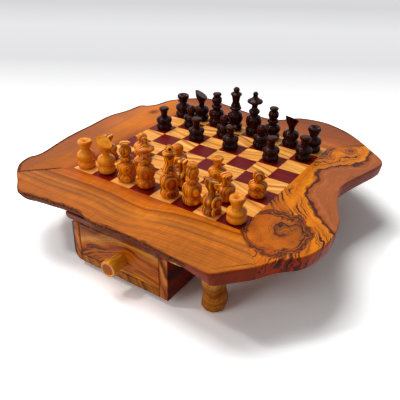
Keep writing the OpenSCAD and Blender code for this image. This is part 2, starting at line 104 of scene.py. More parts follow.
studio = {  # metres, degrees and watts
    "cameraPlace": (0.40749, -0.65019, 0.48960),
    "cameraTurn": (58.861, -1.0476, 33.5992),
    "lens": 47.552,
    "sky": 0.2,
    "lamps": [  # name, place, aimed at, side, watts
        ("keyLamp", (-0.9, 0.15, 2.4), (0, 0, 0.08), 1.4, 52),
        ("fillLamp", (-0.6, -1.6, 0.7), (0, 0, 0.05), 0.8, 9),
        ("sparkLamp", (-0.8, -0.7, 1.5), (0, 0, 0.1), 0.16, 5),
    ],
    "floorHalf": 9, "floorSunk": 0.0002,
    "floorLit": "#C8C8C8",
    "floorSeen": 1.48,
    "floorAway": (-0.545, 0.839),  # the direction in which the floor fades
    "floorFar": (0.62, 4.0),  # from here to there it turns grey by these tones, painted shade that glows on the far floor
    "floorBlend": 0.15,  # over this much before it
    # the far floor's grey fade is painted shade, glowing for the eye only
    "floorTones": [(0, "#FFFFFF"), (0.08, "#E4E4E6"), (0.21, "#E9E9EB"), (0.35, "#D6D6D8"), (1, "#FFFFFF")],
    "floorRound": (0.7, 1.4),  # and beyond this distance it is paper white on every side
}

scene.view_settings.view_transform = "Standard"
cameraData = bpy.data.cameras.new("camera")
cameraData.lens = studio["lens"]
cameraData.sensor_width = 36
cameraData.clip_start = 0.02
camera = placeObject("camera", cameraData)
camera.location = studio["cameraPlace"]
camera.rotation_euler = [math.radians(a) for a in studio["cameraTurn"]]
scene.camera = camera

for name, place, target, side, watts in studio["lamps"]:
    lampData = bpy.data.lights.new(name, "AREA")
    lampData.size = side
    lampData.energy = watts
    lamp = placeObject(name, lampData)
    lamp.location = place
    lamp.rotation_euler = (Vector(target) - Vector(place)).to_track_quat("-Z", "Y").to_euler()


def seenShare(add):
    # 1 for what is seen, straight or in gloss or glass, and 0 for the light that it sheds
    rays = add("LightPath").node.outputs
    seen = add("Math MAXIMUM", [rays["Is Camera Ray"], rays["Is Glossy Ray"]])
    return add("Math MAXIMUM", [seen, rays["Is Transmission Ray"]])


world = bpy.data.worlds.new("studioSky")
scene.world = world
world.use_nodes = True
world.node_tree.nodes.clear()
add = partial(addNode, world.node_tree)
strength = add("MapRange", [seenShare(add), 0, 1, studio["sky"], 1.0])
add("OutputWorld", [add("Background", {"Color": srgb("#FFFFFF"), "Strength": strength})])


def startMaterial(name):
    material = bpy.data.materials.new(name)
    material.use_nodes = True
    material.node_tree.nodes.clear()
    return material, partial(addNode, material.node_tree)


# Matt studio paper: white to the eye, with the object's shadow left on it; far off, the eye sees a painted
# grey fade that glows in its place
floorPaper, add = startMaterial("mattStudioPaper")
seen = seenShare(add)
place = add("TexCoord", out="Object")
away = add("VectorMath DOT_PRODUCT", [place, (*studio["floorAway"], 0)], "Value")
level = add("Mix", {0: seen, 2: srgb(studio["floorLit"])[0], 3: studio["floorSeen"]})
near = add("BsdfDiffuse", {"Color": add("CombineColor", [level] * 3)})
far = add("MapRange", [away, *studio["floorFar"]])
far = add("Emission", {"Color": add("ValToRGB", [far], stops=studio["floorTones"])})
start = studio["floorFar"][0]
share = add("MapRange", [away, start - studio["floorBlend"], start])
off = add("VectorMath LENGTH", [place], "Value")
off = add("MapRange", [off, *studio["floorRound"]], interpolation_type="SMOOTHSTEP")
share = add("Math MAXIMUM", [share, off])
share = add("Math MULTIPLY", [share, seen])
add("OutputMaterial", [add("MixShader", [share, near, far])])

floorMesh = bpy.data.meshes.new("studioFloor")
floorMesh.from_pydata([(x * studio["floorHalf"], y * studio["floorHalf"], 0)
                       for x, y in ((-1, -1), (1, -1), (1, 1), (-1, 1))], [], [(0, 1, 2, 3)])
floorMesh.materials.append(floorPaper)
floor = placeObject("studioFloor", floorMesh)
floor.location.z = -studio["floorSunk"]
print("studio ready")


# Wood

# Each look gives the axis that the grain runs along, the direction across the rings, waves
# (length, width, height), knots (place, radii, lift), rough spots (place, radius, how much
# stronger the small waves are there) and a course (how far the rings shift along the grain).
# Tones and zones are a place, a colour and the share of dark lines; tones go by a noise over
# the rings, and zones by the distance across them. Shades darken the wood toward one side:
# a direction, where they begin and where they are full, and the tint. On the front plank, the
# casing's right side and the plate the shade is painted shade; on the casing's left side it is
# the bark along its outer edge. Olive's growth rings are 1 to 3 mm wide: the fine width is one
# ring, and the tone width a band of several. Its fibres, about 0.1 mm, are too fine to show, and
# are drawn about 1 mm wide.
woodBasics = {
    "along": 0, "across": (0, 1, 0), "course": None, "waves": [(180, 45, 7), (45, 14, 1.6)],
    "smallWave": 20, "knots": [], "roughSpots": [], "toneWidth": 14, "toneShare": 0.14,
    "fineWidth": 2.2, "fineShare": 0.07, "lineSpacing": 9, "lineWidth": 0.09, "lineCore": 0.2,
    "lineColour": "#4A210C", "lineBreak": (70, 22), "lineGap": (0.36, 0.56), "lineDepth": 0.5,
    "blotch": 60, "blotchLong": 2.2, "blotchShare": 0.1, "fibre": (26, 1.3), "fibreShare": 0.09,
    "ripple": 0.02, "rippleSize": (4.5, 14), "roughness": 0.48, "specular": 0.14, "ior": 1.46,
    "bump": 0.25, "bumpDepth": 0.0004, "saturation": 1.03, "top": 0, "shift": None, "shades": [],
}
noiseSpan = (0.25, 0.75)  # nearly all of a noise's values lie here
toneSeed, fineSeed, lineSeed = 3.7, 11.3, 27.1


def objectPoint(add):
    # The place on the object, in millimetres
    return add("VectorMath SCALE", {0: add("TexCoord", out="Object"), 3: 1 / mm})


def addWave(add, vector, scale, detail, lift, level):
    # The level, pushed up and down by a soft noise
    wave = add("TexNoise", {"Vector": vector, "Scale": scale, "Detail": detail})
    wave = add("Math SUBTRACT", [wave, 0.5])
    return add("Math MULTIPLY_ADD", [wave, lift, level])


def addWood(add, look, point, ring, shift):
    # The colour and the relief of the wood at a point; ring is its place across the rings
    def stretched(length, width):
        scale = [1 / width] * 3
        scale[look["along"]] = 1 / length
        return add("VectorMath MULTIPLY", [shifted, tuple(scale)])

    def bell(middle, radii):
        off = add("VectorMath SUBTRACT", [point, tuple(middle)])
        off = add("VectorMath MULTIPLY", [off, tuple(1 / r for r in radii)])
        off = add("VectorMath DOT_PRODUCT", [off, off], "Value")
        return add("Math POWER", [math.exp(-1), off])

    def ringNoise(width, seed):
        at = add("Math MULTIPLY_ADD", [ring, 1 / width, seed])
        return add("TexNoise", {"W": at, "Scale": 1, "Detail": 1}, noise_dimensions="1D")

    shifted = add("VectorMath ADD", [point, shift]) if shift else point
    if look["course"]:
        first, last = look["course"][0][0], look["course"][-1][0]
        low, high = (pick(b for a, b in look["course"]) for pick in (min, max))
        at = add("SeparateXYZ", [point], look["along"])
        at = add("MapRange", [at, first, last])
        points = [((a - first) / (last - first), (b - low) / (high - low)) for a, b in look["course"]]
        at = add("FloatCurve", {"Value": at}, points=[points[0], points[-1]] + points[1:-1])
        at = add("MapRange", [at, 0, 1, low, high])
        ring = add("Math SUBTRACT", [ring, at])
    rough = None
    for *middle, across, lift in look["roughSpots"]:
        rough = add("Math MULTIPLY_ADD", [bell(middle, [across] * 3), lift, rough or 0.0])
    for length, width, height in look["waves"]:
        lift = 2 * height
        if rough and width < look["smallWave"]:
            lift = add("Math MULTIPLY_ADD", [rough, lift, lift])
        ring = addWave(add, stretched(length, width), 1, 1.5, lift, ring)
    for *numbers, lift in look["knots"]:
        ring = add("Math MULTIPLY_ADD", [bell(numbers[:3], numbers[3:]), lift, ring])

    tone = ringNoise(look["toneWidth"], toneSeed)
    if "zones" in look:
        first, last = look["zones"][0][0], look["zones"][-1][0]
        at = add("MapRange", [ring, first, last])
        ramp = [((a - first) / (last - first), *rest) for a, *rest in look["zones"]]
    else:
        at = add("MapRange", [tone, *noiseSpan])
        ramp = look["tones"]
    colour = add("ValToRGB", [at], stops=ramp)
    lineShare = colour.node.outputs["Alpha"]

    fine = ringNoise(look["fineWidth"], fineSeed)
    fibre, blotch, ripple = (
        add("TexNoise", {"Vector": stretched(*size), "Scale": 1, "Detail": 2}) for size in
        (look["fibre"], (look["blotchLong"] * look["blotch"], look["blotch"]), look["rippleSize"]))
    light = 1.0
    for part, share in ((tone, look["toneShare"]), (fine, look["fineShare"]), (ripple, look["ripple"]),
                        (fibre, look["fibreShare"]), (blotch, look["blotchShare"])):
        part = add("MapRange", [part, *noiseSpan, 1 - share, 1 + share])
        light = add("Math MULTIPLY", [part, light])
    colour = add("HueSaturation", {"Value": light, "Saturation": look["saturation"], "Color": colour})

    # dark pigment lines where a slow noise over the rings crosses its middle; the finest real
    # ones are under half a millimetre, and these are drawn wide enough to show
    line = ringNoise(look["lineSpacing"], lineSeed)
    line = add("Math SUBTRACT", [line, 0.5])
    line = add("Math ABSOLUTE", [line])
    line = add("MapRange", [line, look["lineCore"] * look["lineWidth"], look["lineWidth"], 1, 0],
               interpolation_type="SMOOTHSTEP")
    gap = add("TexNoise", {"Vector": stretched(*look["lineBreak"]), "Scale": 1, "Detail": 1})
    gap = add("MapRange", [gap, *look["lineGap"]], interpolation_type="SMOOTHSTEP")
    line = add("Math MULTIPLY", [line, gap])
    line = add("Math MULTIPLY", [line, lineShare])
    colour = add("Mix", {0: line, 6: colour, 7: srgb(look["lineColour"])}, 2, data_type="RGBA")
    return colour, add("Math MULTIPLY_ADD", [line, -look["lineDepth"], fibre])


def finishWood(add, look, colour, height, roughness=None):
    # Oiled and rubbed wood: a satin sheen that the fibres break up
    bump = add("Bump", {"Strength": look["bump"], "Distance": look["bumpDepth"], "Height": height})
    add("OutputMaterial", [add("BsdfPrincipled", {
        "Base Color": colour, "Roughness": roughness or look["roughness"], "Normal": bump,
        "IOR": look["ior"], "Specular IOR Level": look["specular"]})])


def addBurr(add, burr, point, colour):
    # An island of burr: rings round an off-centre heart, with a dark band for its shore
    (x, y), (rx, ry) = burr["middle"], burr["radii"]
    off = add("VectorMath SUBTRACT", [point, (x, y, 0)])
    off = add("VectorRotate", {"Vector": off, "Angle": math.radians(-burr["turn"])}, rotation_type="Z_AXIS")
    off = add("VectorMath MULTIPLY", [off, (1 / rx, 1 / ry, 0)])
    off = add("VectorMath LENGTH", [off], "Value")
    shore = add("MapRange", {"Value": off, "From Max": 2.0, "To Min": -rx, "To Max": rx})
    for width, lift in burr["shoreWaves"]:
        shore = addWave(add, point, 1 / width, 2, lift, shore)
    heart = add("VectorMath SUBTRACT", [point, (*burr["heart"], 0)])
    heart = add("VectorMath MULTIPLY", [heart, (1, 1, 0)])  # level with the board
    heart = add("VectorMath LENGTH", [heart], "Value")
    inside, banded = (addWood(add, {**woodBasics, **burr[part]}, point, ring, None)[0]
                      for part, ring in (("look", heart), ("band", shore)))
    wide, soft = burr["bandWide"], burr["bandSoft"]
    edge = add("MapRange", [shore, -wide - soft, -wide + soft])
    inside = add("Mix", {0: edge, 6: inside, 7: banded}, 2, data_type="RGBA")
    island = add("MapRange", [shore, -burr["shoreSoft"], burr["shoreSoft"], 1, 0])
    return add("Mix", {0: island, 6: colour, 7: inside}, 2, data_type="RGBA")


# Bark left on the live edge: dull and dark to the eye, with furrows of about 3 mm
barkLook = {
    "tones": [(0.3, "#2A0C03"), (0.5, "#5A2408"), (0.72, "#8A4A1C")], "patchScale": 0.07, "patchy": 0.16,
    "patchSpan": (0.3, 0.7), "edge": (0.42, 0.58), "furrowScale": 0.3, "roughness": 0.75,
}


def addBark(add, look, point, colour):
    # The live edge's sides under a tint: painted shade, with the end grain's darker colour where the edge
    # is sawn; and bark over it as far as the plank's bark layer says
    bark = look["bark"]
    side = add("Attribute", out="Fac", attribute_name="side")
    colour = add("Mix", {0: side, 6: colour, 7: srgb(look["sideTint"])}, 2, data_type="RGBA",
                 blend_type="MULTIPLY")
    patchy = add("TexNoise", {"Vector": point, "Scale": bark["patchScale"], "Detail": 3})
    patchy = add("MapRange", [patchy, *bark["patchSpan"], -bark["patchy"], bark["patchy"]])
    share = add("Attribute", out="Fac", attribute_name="bark")
    share = add("Math ADD", [share, patchy])
    share = add("MapRange", [share, *bark["edge"]], interpolation_type="SMOOTHSTEP")
    skin = add("TexNoise", {"Vector": point, "Scale": bark["furrowScale"], "Detail": 4})
    skin = add("ValToRGB", [skin], stops=bark["tones"])
    colour = add("Mix", {0: share, 6: colour, 7: skin}, 2, data_type="RGBA")
    return colour, add("MapRange", [share, 0, 1, look["roughness"], bark["roughness"]])


def boardWood(name, basics=woodBasics, **look):
    # Flat wood, with its pattern in the object's own millimetres
    look = {**woodBasics, **basics, **look}
    material, add = startMaterial(name)
    point = objectPoint(add)
    ring = add("VectorMath DOT_PRODUCT", [point, look["across"]], "Value")
    ring = add("Math SUBTRACT", [ring, look["across"][2] * look["top"]])
    colour, height = addWood(add, look, point, ring, look["shift"])
    if "burr" in look:
        colour = addBurr(add, look["burr"], point, colour)
    for way, first, last, tint in look["shades"]:
        at = add("VectorMath DOT_PRODUCT", [point, way], "Value")
        at = add("MapRange", [at, first, last], interpolation_type="SMOOTHSTEP")
        colour = add("Mix", {0: at, 6: colour, 7: srgb(tint)}, 2, data_type="RGBA", blend_type="MULTIPLY")
    roughness = None
    if "bark" in look:
        colour, roughness = addBark(add, look, point, colour)
    finishWood(add, look, colour, height, roughness)
    return material


# The planks are olive, planed and oiled: warm satin wood with its figure sharp on top
plankBasics = {"top": 106, "bark": barkLook}

# Front plank: straight grain, heartwood along the field and paler wood outside; its left part is darkened a
# little, painted shade where the lamps light it more strongly
frontPlankWood = boardWood(
    "oliveFrontPlank", plankBasics, along=0, across=(0, -1, 0.25), sideTint="#C07A50",
    course=[(-240, 3), (-174, 3), (-60, 0), (0, 5), (30, -1), (70, -11), (130, -16), (200, -18)],
    zones=[(140, "#B04E0A", 0.6), (156, "#C05A08", 0.6), (166, "#D06C0A", 0.5), (172, "#D4740E", 0.2),
           (175, "#A04E0E", 0.9), (177, "#8C4210", 1), (179, "#B8641E", 0.6), (186, "#C2702A", 0.8),
           (200, "#C4742E", 0.7), (214, "#C06C2A", 0.6), (232, "#B86626", 0.5), (262, "#B06224", 0.3)],
    waves=[(200, 60, 5), (70, 22, 1.8), (22, 7, 0.8)], lineSpacing=3, lineWidth=0.1,
    lineColour="#84420F", lineBreak=(110, 30), toneWidth=9, toneShare=0.08, fineWidth=2, fineShare=0.2,
    blotch=34, blotchShare=0.14, ripple=0.14, shades=[((-1, 0, 0), -40, 130, "#E6E2DE")])

# Left plank: quiet wood in soft clouds, with one round knot
leftPlankWood = boardWood(
    "oliveLeftPlank", plankBasics, along=1, across=(-1, 0, 0.2), sideTint="#6E3A2A",
    shades=[((0, -1, 0), -70, 60, "#D2CCC8")],
    zones=[(104, "#3E1606", 1), (122, "#8A4410", 1), (136, "#A04C10", 0.8), (147, "#A8500C", 0.1),
           (170, "#C86A16", 0.15), (196, "#CA7228", 0.12), (215, "#B66634", 0.12), (252, "#AA5E30", 0.2)],
    waves=[(220, 70, 9), (70, 22, 1.6)], knots=[(-194, 105, 106, 10, 13, 90, -86)], lineSpacing=16,
    lineWidth=0.05, lineColour="#5E2C10", toneShare=0.08, blotch=36, blotchShare=0.2, fineShare=0.06,
    ripple=0.09)

# Right plank: heartwood by the field, brown wood outside, a burr in front and knots behind
rightPlankWood = boardWood(
    "oliveRightPlank", plankBasics, along=1, across=(1, 0, -0.2), sideTint="#DC8C58",
    course=[(-260, 300), (-170, 290), (-120, 272), (-86, 247), (-74, 231), (-58, 213), (-31, 197),
            (-13, 181), (10, 174), (35, 174), (57, 170), (80, 175), (105, 198), (125, 206),
            (153, 209), (190, 205), (260, 200)],
    zones=[(-150, "#CE7220", 1), (-60, "#C8640F", 1), (-36, "#DA7C1C", 1), (-20, "#CC6A12", 1),
           (-8, "#E08828", 1), (-5, "#B0561A", 1), (-3, "#3E1204", 1), (0, "#4A1806", 1),
           (2.5, "#9A4E1E", 0.4), (9, "#AC5E36", 0.25), (30, "#A05830", 0.2), (80, "#98522E", 0.2)],
    knots=[(184, 162, 106, 13, 17, 300, -40), (159, 117, 106, 10, 9, 300, -24),
           (172, 108, 106, 6, 6, 300, -14), (201, -6, 106, 4, 4, 300, 5)],
    roughSpots=[(165, 130, 96, 40, 1.6)], waves=[(110, 44, 9), (30, 16, 8), (12, 8, 4.5), (5, 4, 1.5)],
    lineSpacing=9, lineWidth=0.062, lineColour="#3A1003", toneWidth=12, fineShare=0.06,
    blotchShare=0.14, ripple=0.08,
    burr={"middle": (184, -127), "radii": (45, 54), "turn": 20, "heart": (199, -114),
          "shoreWaves": [(34, 26), (9, 9), (4, 3)], "shoreSoft": 0.8, "bandWide": 11, "bandSoft": 1,
          "look": {"along": 1, "waves": [(26, 22, 16), (9, 8, 7), (4, 4, 2)],
                   "zones": [(0, "#B05C20", 1), (10, "#A85618", 1), (16, "#BC661E", 1), (22, "#A8541A", 1),
                             (28, "#C06618", 1), (36, "#C4661C", 0.5), (50, "#BA5C18", 0.2),
                             (75, "#C8701C", 0.1)],
                   "lineSpacing": 3.4, "lineWidth": 0.125, "lineColour": "#3A1203", "lineBreak": (60, 50),
                   "toneWidth": 6, "toneShare": 0.1, "blotch": 9, "blotchShare": 0.08},
          "band": {"along": 1, "waves": [(10, 8, 4), (4, 4, 1.2)],
                   "zones": [(-16, "#BC641A", 1), (-11, "#4E1C08", 1), (-9, "#AC561A", 1),
                             (-6, "#8A3E12", 1), (-4, "#451606", 1), (-2, "#A8541A", 1), (0, "#451606", 1)],
                   "lineSpacing": 3.0, "lineWidth": 0.13, "lineColour": "#300E03", "lineBreak": (40, 24),
                   "toneWidth": 4, "toneShare": 0.16}})

# Back plank: quiet tan wood with faint long streaks
backPlankWood = boardWood(
    "oliveBackPlank", plankBasics, along=0, across=(0, 1, 0.2), sideTint="#6E3A2A",
    zones=[(146, "#B8642A", 0.2), (175, "#A85828", 0.3), (205, "#904822", 0.2), (255, "#803E1E", 0.3)],
    waves=[(150, 60, 8), (50, 18, 2)], knots=[(120, 205, 106, 26, 16, 200, 22)], lineSpacing=12,
    lineWidth=0.05, lineColour="#5E2C10", toneShare=0.12, blotch=36, blotchShare=0.16, ripple=0.08)


# Planks

plankShape = {
    "levels": (86, 89, 96, 102, 105, 106),  # heights at which the frame's planks change section
    "widest": 3,  # the level at which they reach furthest out
    "sameLevel": 0.2, "sameRim": 16,  # how far a point may be from its level, and from the widest rim
    "rows": (0, 0.03, 0.1, 0.2, 0.32, 0.45, 0.58, 0.7, 0.8, 0.88, 0.94, 0.975, 1),
    "columnsPerSpan": 4,
    "seam": 0.3, "seamFrom": 0.95,  # how far the upper edges are eased, and from which row
    "coarse": (0.045, 0.9), "medium": (0.16, 0.5), "fine": (0.5, 0.3),  # dents: per mm, and depth
    "coarseOnTop": 0.4,  # share of the coarse dents that the top keeps
    "dentedTo": 0.86, "barkTo": 0.93,  # rows at which dents and bark are whole, from the top down
    "rough": (2.5, 6.5),  # undercut at which the edge begins to be rough, and is wholly so
    "quietColumns": 14, "turnedColumns": 8,  # columns next to a mitre that stay quiet, or turn to it
    "sawn": (-66, -60, 62, 50),  # directions, in degrees, between which the edge is sawn clean
    "nearRimBark": 0.53, "farRimBark": 2,  # bark on the upper rim
    "rimRow": 6.5, "middleOut": 45,
}
fieldLow, fieldHigh = (corner.xy for corner in boxOf("core_board"))
fieldMid, fieldHalf = (fieldLow + fieldHigh) / 2, (fieldHigh - fieldLow) / 2


def smooth(low, high, value):
    t = min(1, max(0, (value - low) / (high - low)))
    return t * t * (3 - 2 * t)


def curvePoint(a, b, c, d, t):
    return 0.5 * (2 * b + (c - a) * t + (2 * a - 5 * b + 4 * c - d) * t * t
                  + (3 * b - a - 3 * c + d) * t * t * t)


def smoothRun(points, steps):
    # A smooth curve through all the points, ends kept
    line = []
    for i in range(len(points) - 1):
        a, b = points[max(i - 1, 0)], points[i]
        c, d = points[i + 1], points[min(i + 2, len(points) - 1)]
        line += [curvePoint(a, b, c, d, k / steps) for k in range(steps)]
    return line + [points[-1]]


def inwardAt(points, i, count):
    run = points[min(i + 1, count - 1)] - points[max(i - 1, 0)]
    return Vector((-run.y, run.x)).normalized()


def plankLevels(node, facing):
    # The outline of the frame's plank at each level, from one mitre to the other
    rings, widest = [], []
    top = plankShape["levels"][plankShape["widest"]]
    for level in sorted(plankShape["levels"], key=lambda z: abs(z - top)):
        found = {}
        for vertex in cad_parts[node].data.vertices:
            x, y, z = vertex.co / mm
            if abs(z - level) > plankShape["sameLevel"]:
                continue
            if fieldLow.x - 1 < x < fieldHigh.x + 1 and fieldLow.y - 1 < y < fieldHigh.y + 1:
                continue
            at = Vector((x, y))
            if widest and min((at - p).length for p in widest) > plankShape["sameRim"]:
                continue
            found[(round(x, 1), round(y, 1))] = at
        ring = sorted(found.values(), key=lambda p: (
            math.atan2(p.y - fieldMid.y, p.x - fieldMid.x) - facing + math.pi) % (2 * math.pi))
        widest = widest or ring
        rings.append((level, ring))
    return [ring for level, ring in sorted(rings)]


def makeObject(name, verts, faces, material, body, sharp=38):
    mesh = bpy.data.meshes.new(name)
    mesh.from_pydata(verts, [], faces)
    work = bmesh.new()
    work.from_mesh(mesh)
    bmesh.ops.recalc_face_normals(work, faces=work.faces)
    work.to_mesh(mesh)
    work.free()
    mesh.materials.append(material)
    mesh.shade_smooth()
    mesh.set_sharp_from_angle(angle=math.radians(sharp))
    made = placeObject(name, mesh)
    if body:
        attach(made, body)
    return made


def stackRings(rings):
    # Faces of a closed stack of equal rings with flat ends
    n = len(rings[0])
    faces = [(r * n + i, r * n + (i + 1) % n, (r + 1) * n + (i + 1) % n, (r + 1) * n + i)
             for r in range(len(rings) - 1) for i in range(n)]
    return faces + [tuple(range(n))[::-1], tuple(range((len(rings) - 1) * n, len(rings) * n))]


def makePlank(name, node, k, material):
    # k counts the sides of the board from the front one, anticlockwise
    shape, heights = plankShape, plankShape["levels"]
    facing = (k - 1) * math.pi / 2
    columns = [smoothRun(ring, shape["columnsPerSpan"]) for ring in plankLevels(node, facing)]
    count = min(len(c) for c in columns)
    widest, quiet = columns[shape["widest"]], shape["quietColumns"]
    lowest, highest = boxOf(node)
    ways = [(-1, -1), (1, -1), (1, 1), (-1, 1)]
    corners = [fieldMid + Vector(way) * fieldHalf for way in (ways[(k + 1) % 4], ways[k])]
    outward = Vector((math.cos(facing), math.sin(facing)))
    centre = (corners[0] + corners[1]) / 2 + outward * shape["middleOut"]
    rings, barks, sides = [], [], []
    for share in shape["rows"]:
        z = heights[0] + share * (heights[-1] - heights[0])
        i = max(j for j in range(len(heights) - 1) if heights[j] <= z + 1e-6)
        t = (z - heights[i]) / (heights[i + 1] - heights[i])
        side, low = smooth(1.0, shape["dentedTo"], share), smooth(1.0, shape["barkTo"], share)
        coarse = shape["coarseOnTop"] + (1 - shape["coarseOnTop"]) * side
        ring = []
        for j in range(count):
            at = columns[i][j].lerp(columns[i + 1][j], t)
            under = (columns[0][j] - widest[j]).length
            rough = smooth(*shape["rough"], under) * smooth(0, quiet, j) * smooth(0, quiet, count - 1 - j)
            place = Vector((at.x, at.y, z))
            depth = 0
            for key, weight in (("coarse", coarse), ("medium", side), ("fine", side)):
                scale, height = shape[key]
                depth += weight * height * (0.5 + noise.noise(place * scale))
            at = at + inwardAt(widest, j, count) * max(0, depth) * rough
            # the curve may swing a little past the frame's plank
            at = Vector((min(max(at.x, lowest.x), highest.x), min(max(at.y, lowest.y), highest.y)))
            ring.append(at)
            angle = math.degrees(math.atan2(at.y, at.x))
            sawn = smooth(*shape["sawn"][:2], angle) * smooth(*shape["sawn"][2:], angle)
            rim = (shape["nearRimBark"] * rough if k < 2 else shape["farRimBark"]) * (share == 1)
            barks.append((low + rim) * (1 - sawn))
            sides.append(low)
        rings.append((z, ring, shape["seam"] * smooth(shape["seamFrom"], 1, share)))
        barks += [0, 0]
        sides += [0, 0]
    verts = []
    for z, ring, seam in rings:
        for i, p in enumerate(ring + corners):
            # the upper edge along the field and the mitres is eased a little
            eased = seam if i in (0, count - 1, count, count + 1) else 0
            verts.append((p + (centre - p).normalized() * eased).to_3d() + Vector((0, 0, z)))
    n = count + 2
    top = [Vector(v) for v in verts[-n:]]
    flatCentre = centre.to_3d() + Vector((0, 0, heights[-1]))
    for i, p in enumerate(top):
        # a row of points just inside the rim, so that the bark's dark line keeps its width
        way = (flatCentre - p).normalized()
        if i < count:
            turned = smooth(0, shape["turnedColumns"], i) * smooth(0, shape["turnedColumns"], count - 1 - i)
            way = way.lerp(inwardAt(top, i, count).to_3d(), turned)
        verts.append(p + way * shape["rimRow"])
    made = makeObject(name, [Vector(v) * mm for v in verts], stackRings([range(n)] * (len(rings) + 1)),
                      material, "board", 30)
    # bark: how far bark covers each point; side: the rows of the live edge's sides, which the wood darkens
    # with painted shade
    for label, values in (("bark", barks), ("side", sides)):
        layer = made.data.attributes.new(label, "FLOAT", "POINT")
        for i, value in enumerate(values + [0] * n):
            layer.data[i].value = value
    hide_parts(node)
    print(name, len(verts), "points")


makePlank("frontPlank", "front_plank", 0, frontPlankWood)
makePlank("rightPlank", "right_plank", 1, rightPlankWood)
makePlank("backPlank", "back_plank", 2, backPlankWood)
makePlank("leftPlank", "left_plank", 3, leftPlankWood)


# Squares

squareShape = {"side": 37, "gap": 0.12, "chamfer": 0.3, "count": 8,
               "apart": 700, "ringsApart": 900}  # how far apart in the wood the squares were cut


def squareWood(name, turned, **look):
    # One random colour for each cell of the field tells where in the wood it was cut
    look = {**woodBasics, **look}
    material, add = startMaterial(name)
    point = objectPoint(add)
    cell = add("VectorMath ADD", [point, (-fieldLow.x, -fieldLow.y, 0)])
    cell = add("VectorMath MULTIPLY", [cell, (1 / squareShape["side"], 1 / squareShape["side"], 0)])
    cell = add("VectorMath FLOOR", [cell])
    chance = add("TexWhiteNoise", {"Vector": cell}, "Color", noise_dimensions="3D")
    parts = add("SeparateXYZ", [chance]).node.outputs
    if turned:
        turn = add("MapRange", [parts[1], 0, 1, -turned, turned])
        point = add("VectorRotate", {"Vector": point, "Angle": turn}, rotation_type="Z_AXIS")
    shift = add("VectorMath SCALE", {0: chance, 3: squareShape["apart"]})
    ring = add("SeparateXYZ", [point], 1)
    ring = add("Math MULTIPLY_ADD", [parts[0], squareShape["ringsApart"], ring])
    finishWood(add, look, *addWood(add, look, point, ring, shift))
    return material


# Sanded olive, waxed: a pale dull gold, each square with its own lean of the grain
paleSquareWood = squareWood(
    "oliveInlay", 0.5, waves=[(90, 26, 5), (26, 9, 1.6)], toneWidth=8, toneShare=0.1,
    tones=[(0, "#CE7E3A", 0.45), (0.25, "#E09246", 0.14), (0.5, "#EAA050", 0.06), (1, "#F4B66A", 0.04)],
    fineWidth=1.7, fineShare=0.08, lineSpacing=8, lineWidth=0.06, lineColour="#7A3A12", lineBreak=(40, 12),
    blotch=25, blotchShare=0.12, fibre=(16, 1.2), roughness=0.44)

# Wood dyed through: an even deep red, with only the fibres to see in it
redSquareWood = squareWood(
    "redDyedInlay", 0, waves=[(90, 26, 4)], toneWidth=9, toneShare=0.1,
    tones=[(0, "#5C0403", 0.1), (1, "#6E0605", 0.1)], fineWidth=2, fineShare=0.08, lineColour="#3A0304",
    fibre=(14, 1.1), fibreShare=0.14, blotch=20, roughness=0.44)


def bakeNodes(name, tree, values, body):
    # Runs a geometry tree with its inputs set, and keeps the result as a plain mesh
    start = placeObject(name + "Start", bpy.data.meshes.new(name + "Start"))
    modifier = start.modifiers.new("build", "NODES")
    modifier.node_group = tree
    for item in tree.interface.items_tree:
        if item.item_type == "SOCKET" and item.in_out == "INPUT" and item.name in values:
            modifier[item.identifier] = values[item.name]
    result = plainMesh(start)
    start.modifiers.remove(modifier)
    bpy.data.objects.remove(start)
    result.name = name
    made = placeObject(name, result)
    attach(made, body)
    return made


def startGeometry(name, inputs):
    tree = bpy.data.node_groups.new(name, "GeometryNodeTree")
    tree.interface.new_socket("Geometry", in_out="INPUT", socket_type="NodeSocketGeometry")
    tree.interface.new_socket("Geometry", in_out="OUTPUT", socket_type="NodeSocketGeometry")
    for label, kind, value in inputs:
        socket = tree.interface.new_socket(label, in_out="INPUT", socket_type="NodeSocket" + kind)
        if value is not None:
            socket.default_value = value
    return tree, partial(addNode, tree), tree.nodes.new("NodeGroupInput").outputs


# Chamfered tiles on a grid of points; odd picks one colour of the field
tileTree, add, given = startGeometry("inlaidTiles", [
    ("Count", "Int", 8), ("Side", "Float", 0.037), ("Gap", "Float", 0.0001), ("Thick", "Float", 0.008),
    ("Chamfer", "Float", 0.0003), ("Odd", "Int", 0), ("Place", "Vector", (0.0, 0.0, 0.0)),
    ("Wood", "Material", None)])
span = add("Math ADD", [given["Count"], -1.0])
span = add("Math MULTIPLY", [span, given["Side"]])
grid = add("GeometryNodeMeshGrid", {
    "Size X": span, "Size Y": span, "Vertices X": given["Count"], "Vertices Y": given["Count"]})
grid = add("GeometryNodeMeshToPoints", [grid])
index = add("GeometryNodeInputIndex")
row = add("Math DIVIDE", [index, given["Count"]])
row = add("Math FLOOR", [row])
column = add("Math MULTIPLY", [row, given["Count"]])
column = add("Math SUBTRACT", [index, column])
parity = add("Math ADD", [column, row])
parity = add("Math MODULO", [parity, 2.0])
chosen = add("FunctionNodeCompare EQUAL", {0: parity, 1: given["Odd"]}, data_type="FLOAT")
width = add("Math SUBTRACT", [given["Side"], given["Gap"]])
depth = add("Math SUBTRACT", [given["Thick"], given["Chamfer"]])
block = add("CombineXYZ", [width, width, depth])
block = add("GeometryNodeMeshCube", {"Size": block})
upward = add("SeparateXYZ", [add("GeometryNodeInputNormal")], 2)
upward = add("FunctionNodeCompare GREATER_THAN", {0: upward, 1: 0.9}, data_type="FLOAT")
raised = add("GeometryNodeExtrudeMesh", {
    "Mesh": block, "Selection": upward, "Offset Scale": given["Chamfer"]}, mode="FACES")
edge = add("Math MULTIPLY", [given["Chamfer"], 2.0])
edge = add("Math DIVIDE", [edge, width])
edge = add("Math SUBTRACT", [1.0, edge])
